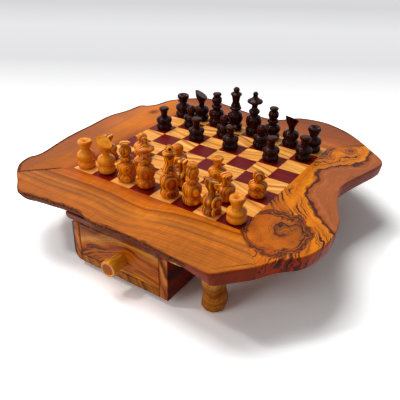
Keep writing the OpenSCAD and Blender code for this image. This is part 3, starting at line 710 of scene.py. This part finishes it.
eased = add("GeometryNodeScaleElements", {
    "Geometry": raised, "Selection": raised.node.outputs["Top"], "Scale": edge})
tiles = add("GeometryNodeInstanceOnPoints", {"Points": grid, "Selection": chosen, "Instance": eased})
tiles = add("GeometryNodeTransform", {"Geometry": tiles, "Translation": given["Place"]})
tiles = add("GeometryNodeRealizeInstances", [tiles])
tiles = add("GeometryNodeSetMaterial", {"Geometry": tiles, "Material": given["Wood"]})
add("NodeGroupOutput", [tiles])

low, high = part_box("light_squares")
squarePlace = ((low.x + high.x) / 2, (low.y + high.y) / 2,
               (low.z + high.z) / 2 - squareShape["chamfer"] * mm / 2)
for name, node, odd, wood, slotName in (("paleSquares", "light_squares", 0, paleSquareWood, "pale_olive"),
                                        ("redSquares", "dark_squares", 1, redSquareWood, "red_wood")):
    tiles = bakeNodes(name, tileTree, {
        "Count": squareShape["count"], "Side": squareShape["side"] * mm, "Gap": squareShape["gap"] * mm,
        "Thick": high.z - low.z, "Chamfer": squareShape["chamfer"] * mm, "Odd": odd,
        "Place": squarePlace, "Wood": wood}, "board")
    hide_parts(node)
    print(name, len(tiles.data.polygons), "faces")


# Turned pieces


def arc(rc, zc, rr, rz, start, end, n=12):
    angles = [math.radians(start + (end - start) * k / n) for k in range(n + 1)]
    return [(rc + rr * math.cos(a), zc + rz * math.sin(a)) for a in angles]


def bead(radius, z, size):
    # A small round ring standing on the surface
    return arc(radius - size * 0.35, z, size, size, -80, 80, 6)


pieceShape = {
    "sides": 60, "footRadius": 13.6, "bellyRadius": 13.9, "bellyRound": 7.6,
    "bellyAt": 0.47, "bellyHigh": 0.54,  # shares of the pedestal's height above its foot
    "flatPawns": ["light_pawn_1", "light_pawn_5", "light_pawn_6", "light_pawn_7", "dark_pawn_1",
                  "dark_pawn_3", "dark_pawn_5", "dark_pawn_7", "dark_pawn_8"],
    "turns": {"light_knight_left": 5, "light_bishop_left": -60, "light_bishop_right": 35,
              "light_knight_right": 60, "dark_knight_left": 25, "dark_bishop_left": 20,
              "dark_bishop_right": -30, "dark_knight_right": 75},
    # pith: direction and distance from the axis; share of the striped figure
    "billets": {
        "light_rook_left": (200, 60, 0.12), "light_knight_left": (150, 70, 0.1),
        "light_bishop_left": (-52, 34, 0.75), "light_queen": (-50, 30, 0.95),
        "light_king": (-38, 60, 1.0), "light_bishop_right": (-30, 28, 0.9),
        "light_knight_right": (-8, 44, 0.9), "light_rook_right": (120, 80, 0.08),
        "light_pawn_1": (10, 40, 0.8), "light_pawn_2": (160, 60, 0.5), "light_pawn_3": (-70, 30, 0.95),
        "light_pawn_4": (-58, 26, 1.0), "light_pawn_5": (0, 40, 0.9), "light_pawn_6": (100, 50, 0.7),
        "light_pawn_7": (-20, 30, 0.9), "light_pawn_8": (-62, 30, 0.95)},
    # boxes cut out of a kind: their corners, their place from the top of the piece, and their tilt
    "cuts": {
        "bishop": [((5.4, -0.8, 0), (12, 0.8, 8), (0, 0, -17.6), 0)],
        "knight": [((-1, -20, 0), (40, 20, 30), (-12.4, 0, 0), 30),  # slanted face
                   ((0, -20, 0), (14, 20, 2.4), (5.2, 0, -20), -25),  # mouth
                   ((-8, -1.3, 0), (0, 1.3, 9), (-8, 0, -5), 0)],  # gap between the ears
    },
    # each kind: height of the foot, where the pedestal ends below the top, its neck, and the
    # outline from there on, as radius and height from the top
    "kinds": {
        "pawn": (11, -17.0, 5.4, [
            (5.3, -16.4), *bead(5.6, -15.7, 0.7), (5.0, -15), *arc(0, -8.2, 8.2, 8.2, -50, 90, 22)]),
        "flatPawn": (11, -17.0, 5.6, [
            (5.5, -16.4), *bead(6.0, -15.6, 0.8), (5.2, -14.7), (5.4, -13), (6.0, -9.5), (7.1, -5.5),
            *arc(7.2, -2.6, 1.5, 2.4, -42, 62, 8), (7.3, -0.1), (5.2, 0), (3, 0), (0, 0)]),
        "rook": (11, -17.6, 7.4, [
            (7.2, -17.1), (6.7, -16.2), (6.5, -13.2), (7.6, -12.9), (7.9, -11.6), (7.5, -10.6),
            (8.6, -10.2), (8.9, -8.4), (8.6, -7.6), *arc(9.0, -3.7, 2.0, 3.6, -62, 88, 12),
            (8.2, -0.25), (5.6, -0.9), (3.6, -2.2), (2.4, -4.4), (0.9, -5.2), (0, -5.3)]),
        "knight": (12, -28.4, 5.6, [
            (5.2, -27.9), (4.8, -26), (5.3, -22.6), (6.6, -19.6), (8.2, -16.6), (9.6, -14),
            (10.6, -11.5), (11.3, -8.5), (11.8, -5), (12.1, -2), (12.2, 0), (0, 0)]),
        "bishop": (13, -30.4, 6.2, [
            (5.9, -29.9), *bead(6.4, -29.1, 0.8), *arc(5.2, -24.9, 4.6, 3.4, -78, 76, 12),
            (5.7, -21.2), (5.7, -20.7), *arc(4.4, -13.6, 4.7, 7.2, -74, 74, 18), (5.2, -6.1), (5.2, -5.6),
            *arc(5.0, -2.8, 2.9, 2.6, -84, 66, 10), (5.6, -0.25), (3, 0), (0, 0)]),
        "queen": (14, -41.6, 5.8, [
            (5.3, -41), *bead(5.9, -40.2, 0.8), *arc(4.5, -35.4, 5.3, 4.4, -74, 50, 12), (7.0, -31.8),
            (6.6, -31.4), (5.4, -29.2), (4.9, -26.4), (5.1, -24.4), *bead(5.5, -23.6, 0.7), (6.6, -21.9),
            (9.0, -20.1), *arc(11.3, -17.2, 2.3, 2.6, -64, 66, 10), (11.2, -14.4), (9.4, -13.4),
            (7.4, -12.4), (5.8, -10.8), (4.6, -9.2), (3.9, -8.2), (4.2, -7.5),
            *arc(0, -4.3, 4.6, 4.3, -30, 90, 14)]),
        "king": (13, -44.2, 7.0, [
            (6.6, -43.6), (6.3, -42.4), (8.2, -40.6), *arc(8.6, -38, 1.9, 2.1, -62, 70, 8), (8.3, -35.4),
            *bead(8.3, -34.3, 0.9), (7.4, -33.1), *bead(7.6, -32.0, 0.9), (6.7, -30.8),
            *bead(6.9, -29.8, 0.8), (6.2, -28.8), (6.2, -26), (6.7, -22), (7.5, -18), (8.5, -15),
            *arc(8.6, -13, 1.4, 1.6, -50, 70, 8), (8.6, -11), (7.0, -9.9), (5.2, -9.3),
            *arc(0, -5.3, 5.5, 5.3, -40, 90, 16)]),
    },
}


def pieceProfile(kind, h):
    footH, below, neck, head = pieceShape["kinds"][kind]
    r, belly, bulge = (pieceShape[key] for key in ("footRadius", "bellyRadius", "bellyRound"))
    top = h + below
    mid = footH + pieceShape["bellyAt"] * (top - footH)
    rise = pieceShape["bellyHigh"] * (top - footH)
    profile = [(0, 0), (r - 5, 0), (r - 3.4, 0.25)]
    profile += arc(r - 4.2, footH * 0.5, 4.2, footH * 0.5 - 0.2, -70, 66, 14)
    profile += [(r - 3.1, footH - 0.2), (r - 3.3, footH + 0.35)]
    profile += arc(belly - bulge, mid, bulge, rise, -52, 48, 16)
    shoulder = profile[-1]
    profile += [(shoulder[0] - 0.75, shoulder[1] + 0.15)]
    inner = belly - bulge - 1
    last = math.degrees(math.acos(min(1, max(-1, (neck + 0.9 - inner) / bulge))))
    profile += arc(inner, mid, bulge, rise, 52, max(last, 56), 9)
    end = profile[-1]
    return profile + [(end[0] - 0.7, end[1] + 0.1)] + [(radius, h + z) for radius, z in head]


def lathe(profile, sides):
    verts, faces, rings = [], [], []
    for r, z in profile:
        count = 1 if r < 1e-6 else sides
        rings.append([len(verts) + i for i in range(count)])
        verts += [Vector((r * math.cos(2 * math.pi * i / sides), r * math.sin(2 * math.pi * i / sides), z))
                  for i in range(count)]
    for below, above in zip(rings, rings[1:]):
        for i in range(sides):
            j = (i + 1) % sides
            corners = [ring[m % len(ring)] for ring, m in ((below, i), (below, j), (above, j), (above, i))]
            faces.append(tuple(dict.fromkeys(corners)))
    return verts, faces


def cutterBox(low, high, place, tilt):
    # A box in the piece's own millimetres, tilted and then placed
    matrix = Matrix.Translation(place) @ Matrix.Rotation(math.radians(tilt), 4, "Y")
    corners = [Vector((x, y, z)) for x in (low[0], high[0])
               for y in (low[1], high[1]) for z in (low[2], high[2])]
    faces = [(0, 1, 3, 2), (4, 6, 7, 5), (0, 4, 5, 1), (2, 3, 7, 6), (0, 2, 6, 4), (1, 5, 7, 3)]
    mesh = bpy.data.meshes.new("cutter")
    mesh.from_pydata([(matrix @ c) * mm for c in corners], [], faces)
    return placeObject("cutter", mesh)


def carve(made, cutters):
    for cutter in cutters:
        modifier = made.modifiers.new("cut", "BOOLEAN")
        modifier.operation = "DIFFERENCE"
        modifier.solver = "EXACT"
        modifier.object = cutter
    carved = plainMesh(made)
    made.modifiers.clear()
    made.data = carved
    for cutter in cutters:
        bpy.data.objects.remove(cutter)
    carved.set_sharp_from_angle(angle=math.radians(34))


def turnedMaterial(name, **look):
    # End-on and side-on rings round a pith that lies beside the piece
    look = {**woodBasics, "along": 2, **look}
    material, add = startMaterial(name)
    place = objectPoint(add)
    axis = add("Attribute", out="Vector", attribute_name="axis")
    billet = add("Attribute", out="Vector", attribute_name="billet")
    point = add("VectorMath SUBTRACT", [place, axis])
    off = add("VectorMath SUBTRACT", [point, billet])
    off = add("VectorMath MULTIPLY", [off, (1, 1, 0)])
    ring = add("VectorMath LENGTH", [off], "Value")
    shift = add("VectorMath SCALE", {0: axis, 3: look["axisShift"]})
    colour, height = addWood(add, look, point, ring, shift)
    if "plain" in look:
        figure = add("SeparateXYZ", [billet], 2)
        plain = add("VectorMath MULTIPLY", [point, look["plainScale"]])
        plain = add("TexNoise", {"Vector": plain, "Scale": 1, "Detail": 3})
        plain = add("ValToRGB", [plain], stops=look["plain"])
        colour = add("Mix", {0: figure, 6: plain, 7: colour}, 2, data_type="RGBA")
        for *middle, radius in look["eyes"]:  # single dark knots
            off = add("VectorMath DISTANCE", [place, tuple(middle)], "Value")
            eye = add("MapRange", [off, 0.6 * radius, radius, look["eyeShare"], 0],
                      interpolation_type="SMOOTHSTEP")
            colour = add("Mix", {0: eye, 6: colour, 7: srgb(look["eyeColour"])}, 2, data_type="RGBA")
    finishWood(add, look, colour, height)
    return material


# Olive turned and polished: bright honey wood, in some pieces striped with dark rings
turnedOlive = turnedMaterial(
    "oliveTurned", axisShift=7.0, waves=[(46, 20, 3.2), (14, 7, 1.1)], toneWidth=3.6,
    tones=[(0, "#963408", 1), (0.35, "#C65E12", 1), (0.6, "#E88A34", 0.9), (1, "#FFBE68", 0.8)],
    plain=[(0.25, "#CC6C0A"), (0.5, "#E88A14"), (0.8, "#F4A428")], plainScale=(0.12, 0.12, 0.04),
    fineWidth=1.5, fineShare=0.08, lineSpacing=2.2, lineWidth=0.13, lineColour="#4E1003",
    lineBreak=(30, 9), blotch=16, blotchShare=0.14, fibre=(12, 0.9), roughness=0.2, specular=0.13,
    saturation=1.12, bump=0.12, eyes=[(-135.2, -145.6, 111, 2.6)], eyeShare=0.85, eyeColour="#4A1608")

# Turned wood stained and polished: nearly black, red only where light falls on it
stainedTurned = turnedMaterial(
    "stainedTurned", axisShift=7.0, waves=[(40, 16, 2)], toneWidth=4, toneShare=0.25,
    tones=[(0, "#1C0504", 0.2), (1, "#3C110A", 0.2)], fineWidth=1.5, fineShare=0.1, lineColour="#080303",
    blotch=14, blotchShare=0.25, fibre=(10, 0.9), roughness=0.13, specular=0.09, bump=0.12)


def makePiece(node):
    low, high = boxOf(node)
    kind = "flatPawn" if node in pieceShape["flatPawns"] else node.split("_")[1]
    axis = Vector(((low.x + high.x) / 2, (low.y + high.y) / 2, low.z))
    h = high.z - low.z
    name = "".join(word.capitalize() if i else word for i, word in enumerate(node.split("_")))
    verts, faces = lathe(pieceProfile(kind, h), pieceShape["sides"])
    turn = Matrix.Rotation(math.radians(pieceShape["turns"].get(node, 0)), 4, "Z")
    wood, slotName = (turnedOlive, "turned_olive") if node.startswith("light") else (
        stainedTurned, "dark_wood")
    made = makeObject(name, [v * mm for v in verts], faces, wood, None)
    if kind in pieceShape["cuts"]:
        carve(made, [cutterBox(first, last, (x, y, h + z), tilt)
                     for first, last, (x, y, z), tilt in pieceShape["cuts"][kind]])
    made.data.transform(Matrix.Translation(axis * mm) @ turn)
    degrees, distance, figure = pieceShape["billets"].get(node, (len(node) * 41, 40, 1))
    angle = math.radians(degrees)
    pith = (distance * math.cos(angle), distance * math.sin(angle), figure)
    for label, value in (("axis", axis), ("billet", pith)):
        layer = made.data.attributes.new(label, "FLOAT_VECTOR", "POINT")
        for item in layer.data:
            item.vector = value
    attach(made, node)
    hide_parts(node)


chessNodes = [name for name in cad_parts
              if name.startswith(("light_", "dark_")) and "squares" not in name]
for node in sorted(chessNodes):
    makePiece(node)
print(len(chessNodes), "pieces turned")


# Legs

legShape = {
    "sides": 52, "steps": 7, "thinnest": 9, "quietEnds": 3,
    "lump": 1.6, "lumpScale": 0.07, "ridge": 0.35, "ridgeStep": 7,
    "sway": 5, "swayScale": 0.03, "lean": 0.25, "leanTurn": 0.6,  # how the ridges run round the leg
}

# Short branch wood, peeled and oiled: growth ridges above, mottled below
legWood = boardWood(
    "oliveBranch", along=2, across=(0.25, -0.2, 1), waves=[(30, 24, 9), (12, 9, 1.4)],
    tones=[(0, "#9C4E12", 0.6), (0.5, "#B86A26", 0.5), (1, "#CC8844", 0.3)], toneWidth=12, toneShare=0.06,
    fineWidth=2.4, fineShare=0.08, lineSpacing=6, lineWidth=0.07, lineColour="#5E3412", lineBreak=(14, 10),
    blotch=4, blotchShare=0.26, fibre=(3.5, 1.6), fibreShare=0.2, roughness=0.46, bump=0.4)


def legSections(node):
    # Middle and radius of the frame's leg at each of its levels
    levels = {}
    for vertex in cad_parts[node].data.vertices:
        levels.setdefault(round(vertex.co.z / mm, 1), []).append(vertex.co / mm)
    sections = []
    for z, points in sorted(levels.items()):
        xs, ys = [p.x for p in points], [p.y for p in points]
        radius = (max(xs) - min(xs) + max(ys) - min(ys)) / 4
        if radius > legShape["thinnest"]:
            sections.append(Vector(((min(xs) + max(xs)) / 2, (min(ys) + max(ys)) / 2, z, radius)))
    return sections


def makeLeg(name, node):
    shape, rings = legShape, []
    sections = legSections(node)
    height, quiet = sections[-1].z, shape["quietEnds"]
    for x, y, z, radius in smoothRun(sections, shape["steps"]):
        ring = []
        for i in range(shape["sides"]):
            angle = 2 * math.pi * i / shape["sides"]
            way = Vector((math.cos(angle), math.sin(angle), 0))
            at = Vector((x, y, z)) + way * radius
            depth = shape["lump"] * (0.5 + noise.noise(at * shape["lumpScale"]))
            tilted = z + shape["sway"] * noise.noise(at * shape["swayScale"])
            tilted += shape["lean"] * radius * math.cos(angle - shape["leanTurn"])
            depth += shape["ridge"] * (0.5 + 0.5 * math.sin(2 * math.pi * tilted / shape["ridgeStep"]))
            ring.append(at - way * depth * smooth(0, quiet, z) * smooth(height, height - quiet, z))
        rings.append(ring)
    verts = [p * mm for ring in rings for p in ring]
    made = makeObject(name, verts, stackRings(rings), legWood, "board", 50)
    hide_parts(node)


for side in ("front_right", "front_left", "back_right", "back_left"):
    makeLeg("leg" + side.title().replace("_", ""), "leg_" + side)
print("legs done")


# Casing and drawers

casingShape = {
    "ease": 1.1, "firstCut": 0.3, "station": 8, "sideStep": 5, "sway": 0.35, "swayScale": 0.05,
    "waneScale": 0.04, "waneMean": 0.75, "waneSpread": 0.7,
}

# Sawn and oiled boards: duller and browner than the top, each from its own part of the tree
casingBasics = {
    "along": 1, "across": (1, 0.04, 0.45), "waves": [(70, 20, 6), (20, 8, 1.8)],
    "tones": [(0, "#7E3212", 1), (0.35, "#AC541E", 0.8), (0.6, "#C46A2A", 0.5), (1, "#D08040", 0.3)],
    "toneWidth": 9, "toneShare": 0.1, "fineWidth": 2, "lineSpacing": 8, "lineWidth": 0.1,
    "lineColour": "#4A200E", "lineBreak": (60, 14), "blotch": 40, "blotchShare": 0.14, "roughness": 0.42,
}
leftSideWood = boardWood("oliveCasingLeft", casingBasics, shades=[((-1, 0, 0), 79, 82, "#5A3028")])
# The right side's outer face is darkened by a tint: painted shade
rightSideWoodPaintedShade = boardWood("oliveCasingRight", casingBasics, shift=(20, 90, 0),
                          shades=[((1, 0, 0), 83, 84.6, "#8E3E26")])
bottomWood = boardWood("oliveCasingBottom", casingBasics, shift=(300, 0, 40),
                       tones=[(0, "#7A3A14", 0.8), (0.4, "#A85C20", 0.6), (1, "#C07A34", 0.3)])
# The plate: pale tan tones, painted light on its right end, which lies in the board's shadow; left of 86 mm
# its front is darkened by a tint, painted shade under the board's overhang
plateWoodPaintedLightAndShade = boardWood("olivePlate", casingBasics, shift=(0, 200, 90),
                      tones=[(0, "#B87440", 0.3), (0.5, "#D49A5C", 0.2), (1, "#E4B47C", 0.1)],
                      shades=[((-1, 0, 0), -92, -86, "#8C5238")])
# Planed and left plain inside: pale and even
plainWood = boardWood("olivePlain", along=1, across=(1, 0, 0.4), toneWidth=10, lineSpacing=14,
                      lineWidth=0.06, tones=[(0, "#B8732C", 0.3), (1, "#D29A54", 0.1)], shift=(50, 90, 20))

# Drawer faces: olive planed and oiled to a satin, with bold grain that climbs from the lower
# left and runs level to the right
faceWood = boardWood(
    "oliveDrawerFace", along=0, across=(0, 0, 1),
    course=[(-75, 22), (-45, 34), (-20, 46), (0, 54), (20, 56), (45, 53), (75, 49)],
    zones=[(-30, "#D88A30", 0.3), (-23, "#CC6C1E", 0.6), (-13, "#C86418", 0.8), (-6, "#AC500F", 0.9),
           (0, "#C0661C", 0.9), (6, "#8A3610", 1), (13, "#BC641A", 0.8), (19, "#D08034", 0.7),
           (25, "#DC9A54", 0.4), (30, "#BC6C2C", 0.8), (37, "#98501F", 0.9), (44, "#662814", 1),
           (56, "#AC6428", 0.6)],
    knots=[(19, 0, 57, 11, 900, 10, -11), (-42, 0, 74, 13, 900, 9, 12), (-48, 0, 45, 16, 900, 9, -7)],
    waves=[(55, 12, 3.2), (22, 6, 1.3)], lineSpacing=5, lineWidth=0.12, lineColour="#45200F",
    lineBreak=(40, 10), toneShare=0.1, fineShare=0.1, roughness=0.4)

# Knobs, turned from pale wood: a soft shine on the side, and dull darker end grain
knobWood = boardWood(
    "oliveKnob", along=1, across=(1, 0, 0.3), tones=[(0, "#D27C22", 0.1), (1, "#E69C40", 0.05)],
    toneWidth=6, fineWidth=1.4, fineShare=0.08, waves=[(40, 14, 3)], blotch=12, roughness=0.34,
    specular=0.3)
knobEndWood = boardWood(
    "oliveKnobEnd", along=1, across=(1, 0, 0.3), tones=[(0, "#9A4206", 0.3), (1, "#B05A10", 0.1)],
    toneWidth=5, fineWidth=1.2, fineShare=0.12, waves=[(40, 10, 3)], blotch=8, blotchShare=0.2,
    roughness=0.45)

# Screws: zinc-plated steel, a grey metal shine. Its grain, under 0.1 mm, is drawn 0.7 mm wide to show.
screwLook = {"grainPerMetre": 1500, "tones": [(0.3, "#8E9094"), (0.7, "#A6A8AA")],
             "dull": (0.3, 0.7, 0.3, 0.45)}  # from and to, as the grain and as the roughness
screwSteel, add = startMaterial("zincPlatedSteel")
grain = add("TexCoord", out="Object")
grain = add("TexNoise", {"Vector": grain, "Scale": screwLook["grainPerMetre"], "Detail": 3})
colour = add("ValToRGB", [grain], stops=screwLook["tones"])
dull = add("MapRange", [grain, *screwLook["dull"]])
add("OutputMaterial", [add("BsdfPrincipled", {"Base Color": colour, "Metallic": 1.0, "Roughness": dull})])


def easedSection(low, high, ease, step):
    # Points and outward directions round a rectangle with rounded corners
    mid, half = (low + high) / 2, (high - low) / 2
    ring = []
    for k, (su, sv) in enumerate(((1, -1), (1, 1), (-1, 1), (-1, -1))):
        centre = mid + Vector((su * (half.x - ease), sv * (half.y - ease)))
        for degrees in range(0, 91, 30):
            angle = math.radians(-90 + 90 * k + degrees)
            way = Vector((math.cos(angle), math.sin(angle)))
            ring.append((centre + way * ease, way))
        run = 2 * ((half.y, half.x)[k % 2] - ease)
        ahead = way.orthogonal()
        start, count = ring[-1][0], max(1, round(run / step))
        ring += [(start + ahead * run * j / count, way) for j in range(1, count)]
    return ring


def easedBoard(name, node, body, wood, wanes=(), swayShare=1.0):
    # A board in the frame's box with its edges rubbed round. Each wane names the corner,
    # seen along the board, where bark was cut away, its size, and where it fades out.
    shape, ease = casingShape, casingShape["ease"]
    low, high = boxOf(node)
    axis = max(range(3), key=lambda i: high[i] - low[i])
    u, v = [i for i in range(3) if i != axis]
    flatLow, flatHigh = Vector((low[u], low[v])), Vector((high[u], high[v]))
    section = easedSection(flatLow, flatHigh, ease, shape["sideStep"])
    length = high[axis] - low[axis]
    count = round((length - 2 * ease) / shape["station"])
    stations = [0, shape["firstCut"] * ease]
    stations += [ease + (length - 2 * ease) * j / count for j in range(count + 1)]
    stations += [length - shape["firstCut"] * ease, length]
    rings = []
    for at in stations:
        end = max(0, ease - min(at, length - at))
        inset = ease - math.sqrt(ease * ease - end * end)
        ring = []
        for point, way in section:
            p = point - way * inset
            for su, sv, size, first, last in wanes:
                corner = Vector((flatHigh.x if su > 0 else flatLow.x, flatHigh.y if sv > 0 else flatLow.y))
                off = Vector(((corner.x - p.x) * su, (corner.y - p.y) * sv))
                wobble = noise.noise(Vector((at * shape["waneScale"], size, su)))
                reach = size * (shape["waneMean"] + shape["waneSpread"] * wobble) * smooth(last, first, at)
                if off.x + off.y < reach:
                    push = (reach - off.x - off.y) / 2
                    p = p - Vector((su, sv)) * push
            full = Vector((0, 0, 0))
            full[u], full[v], full[axis] = p.x, p.y, low[axis] + at
            sway = shape["sway"] * swayShare * max(0, 0.5 + noise.noise(full * shape["swayScale"]))
            full[u] -= way.x * sway
            full[v] -= way.y * sway
            ring.append(full)
        rings.append(ring)
    verts = [p * mm for ring in rings for p in ring]
    made = makeObject(name, verts, stackRings(rings), wood, body, 40)
    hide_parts(node)


easedBoard("casingLeft", "case_left_side", "board", leftSideWood,
           wanes=[(-1, -1, 13, 60, 160), (-1, 1, 5, 20, 90)])
easedBoard("casingRight", "case_right_side", "board", rightSideWoodPaintedShade)
easedBoard("casingBottom", "case_bottom", "board", bottomWood)
easedBoard("casingPlate", "case_plate", "board", plateWoodPaintedLightAndShade,
           wanes=[(1, -1, 8, 40, 400), (-1, -1, 5, 60, 400)])
for side in ("front", "far"):
    easedBoard(side + "DrawerFace", side + "_drawer_face", side + "_drawer", faceWood,
               swayShare=0.4)

knobShape = {"sides": 64, "stem": 10.5, "head": 12.25, "headThick": 9, "out": 28, "spigot": 4.5,
             "spigotLong": 11.6, "rim": 1.9, "sunk": 0.7, "backRound": 1.2, "frontRound": 1.5}


def makeKnob(side, turn):
    shape = knobShape
    low, high = boxOf(side + "_drawer_knob")
    out, stem, head, back, brow = (shape[key] for key in ("out", "stem", "head", "backRound", "frontRound"))
    neck, sunk, flat = out - shape["headThick"], out - shape["sunk"], head - brow - shape["rim"]
    profile = [(0, -shape["spigotLong"]), (shape["spigot"], -shape["spigotLong"]), (shape["spigot"], 0.05),
               (stem - 0.4, 0.05), (stem, 0.5), (stem - 0.3, neck * 0.5), (stem, neck - 1.2),
               (stem - 0.5, neck - 0.5), *arc(head - back, neck + 1.1, back, back, -90, 0, 5),
               *arc(head - brow, out - brow, brow, brow, 0, 90, 6), (flat + 0.5, out - 0.05),
               (flat, out - 0.25), (flat - 0.3, sunk), (flat * 0.5, sunk + 0.15), (0, sunk + 0.2)]
    verts, faces = lathe(profile, shape["sides"])
    front = low.y if turn == 0 else high.y
    place = Vector(((low.x + high.x) / 2, front + (out if turn == 0 else -out), (low.z + high.z) / 2))
    spin = Matrix.Translation(place) @ Matrix.Rotation(turn, 4, "Z") @ Matrix.Rotation(math.pi / 2, 4, "X")
    made = makeObject(side + "DrawerKnob", [(spin @ p) * mm for p in verts], faces, knobWood,
                      side + "_drawer", 32)
    made.data.materials.append(knobEndWood)
    for face in made.data.polygons:
        off = face.center / mm - place
        if math.hypot(off.x, off.z) < flat - 0.2 and abs(off.y) > out - 2:
            face.material_index = 1
    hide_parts(side + "_drawer_knob")


makeKnob("front", 0)
makeKnob("far", math.pi)

# What stays as the frame has it: plain wood inside, and the screws
inside = ["core_board", "case_divider", "dowels"]
inside += [side + "_drawer_" + part for side in ("front", "far") for part in ("sides", "back", "bottom")]
for node in inside + ["plate_screws"]:
    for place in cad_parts[node].material_slots:
        place.material = plainWood if node in inside else screwSteel
print("casing and drawers done")
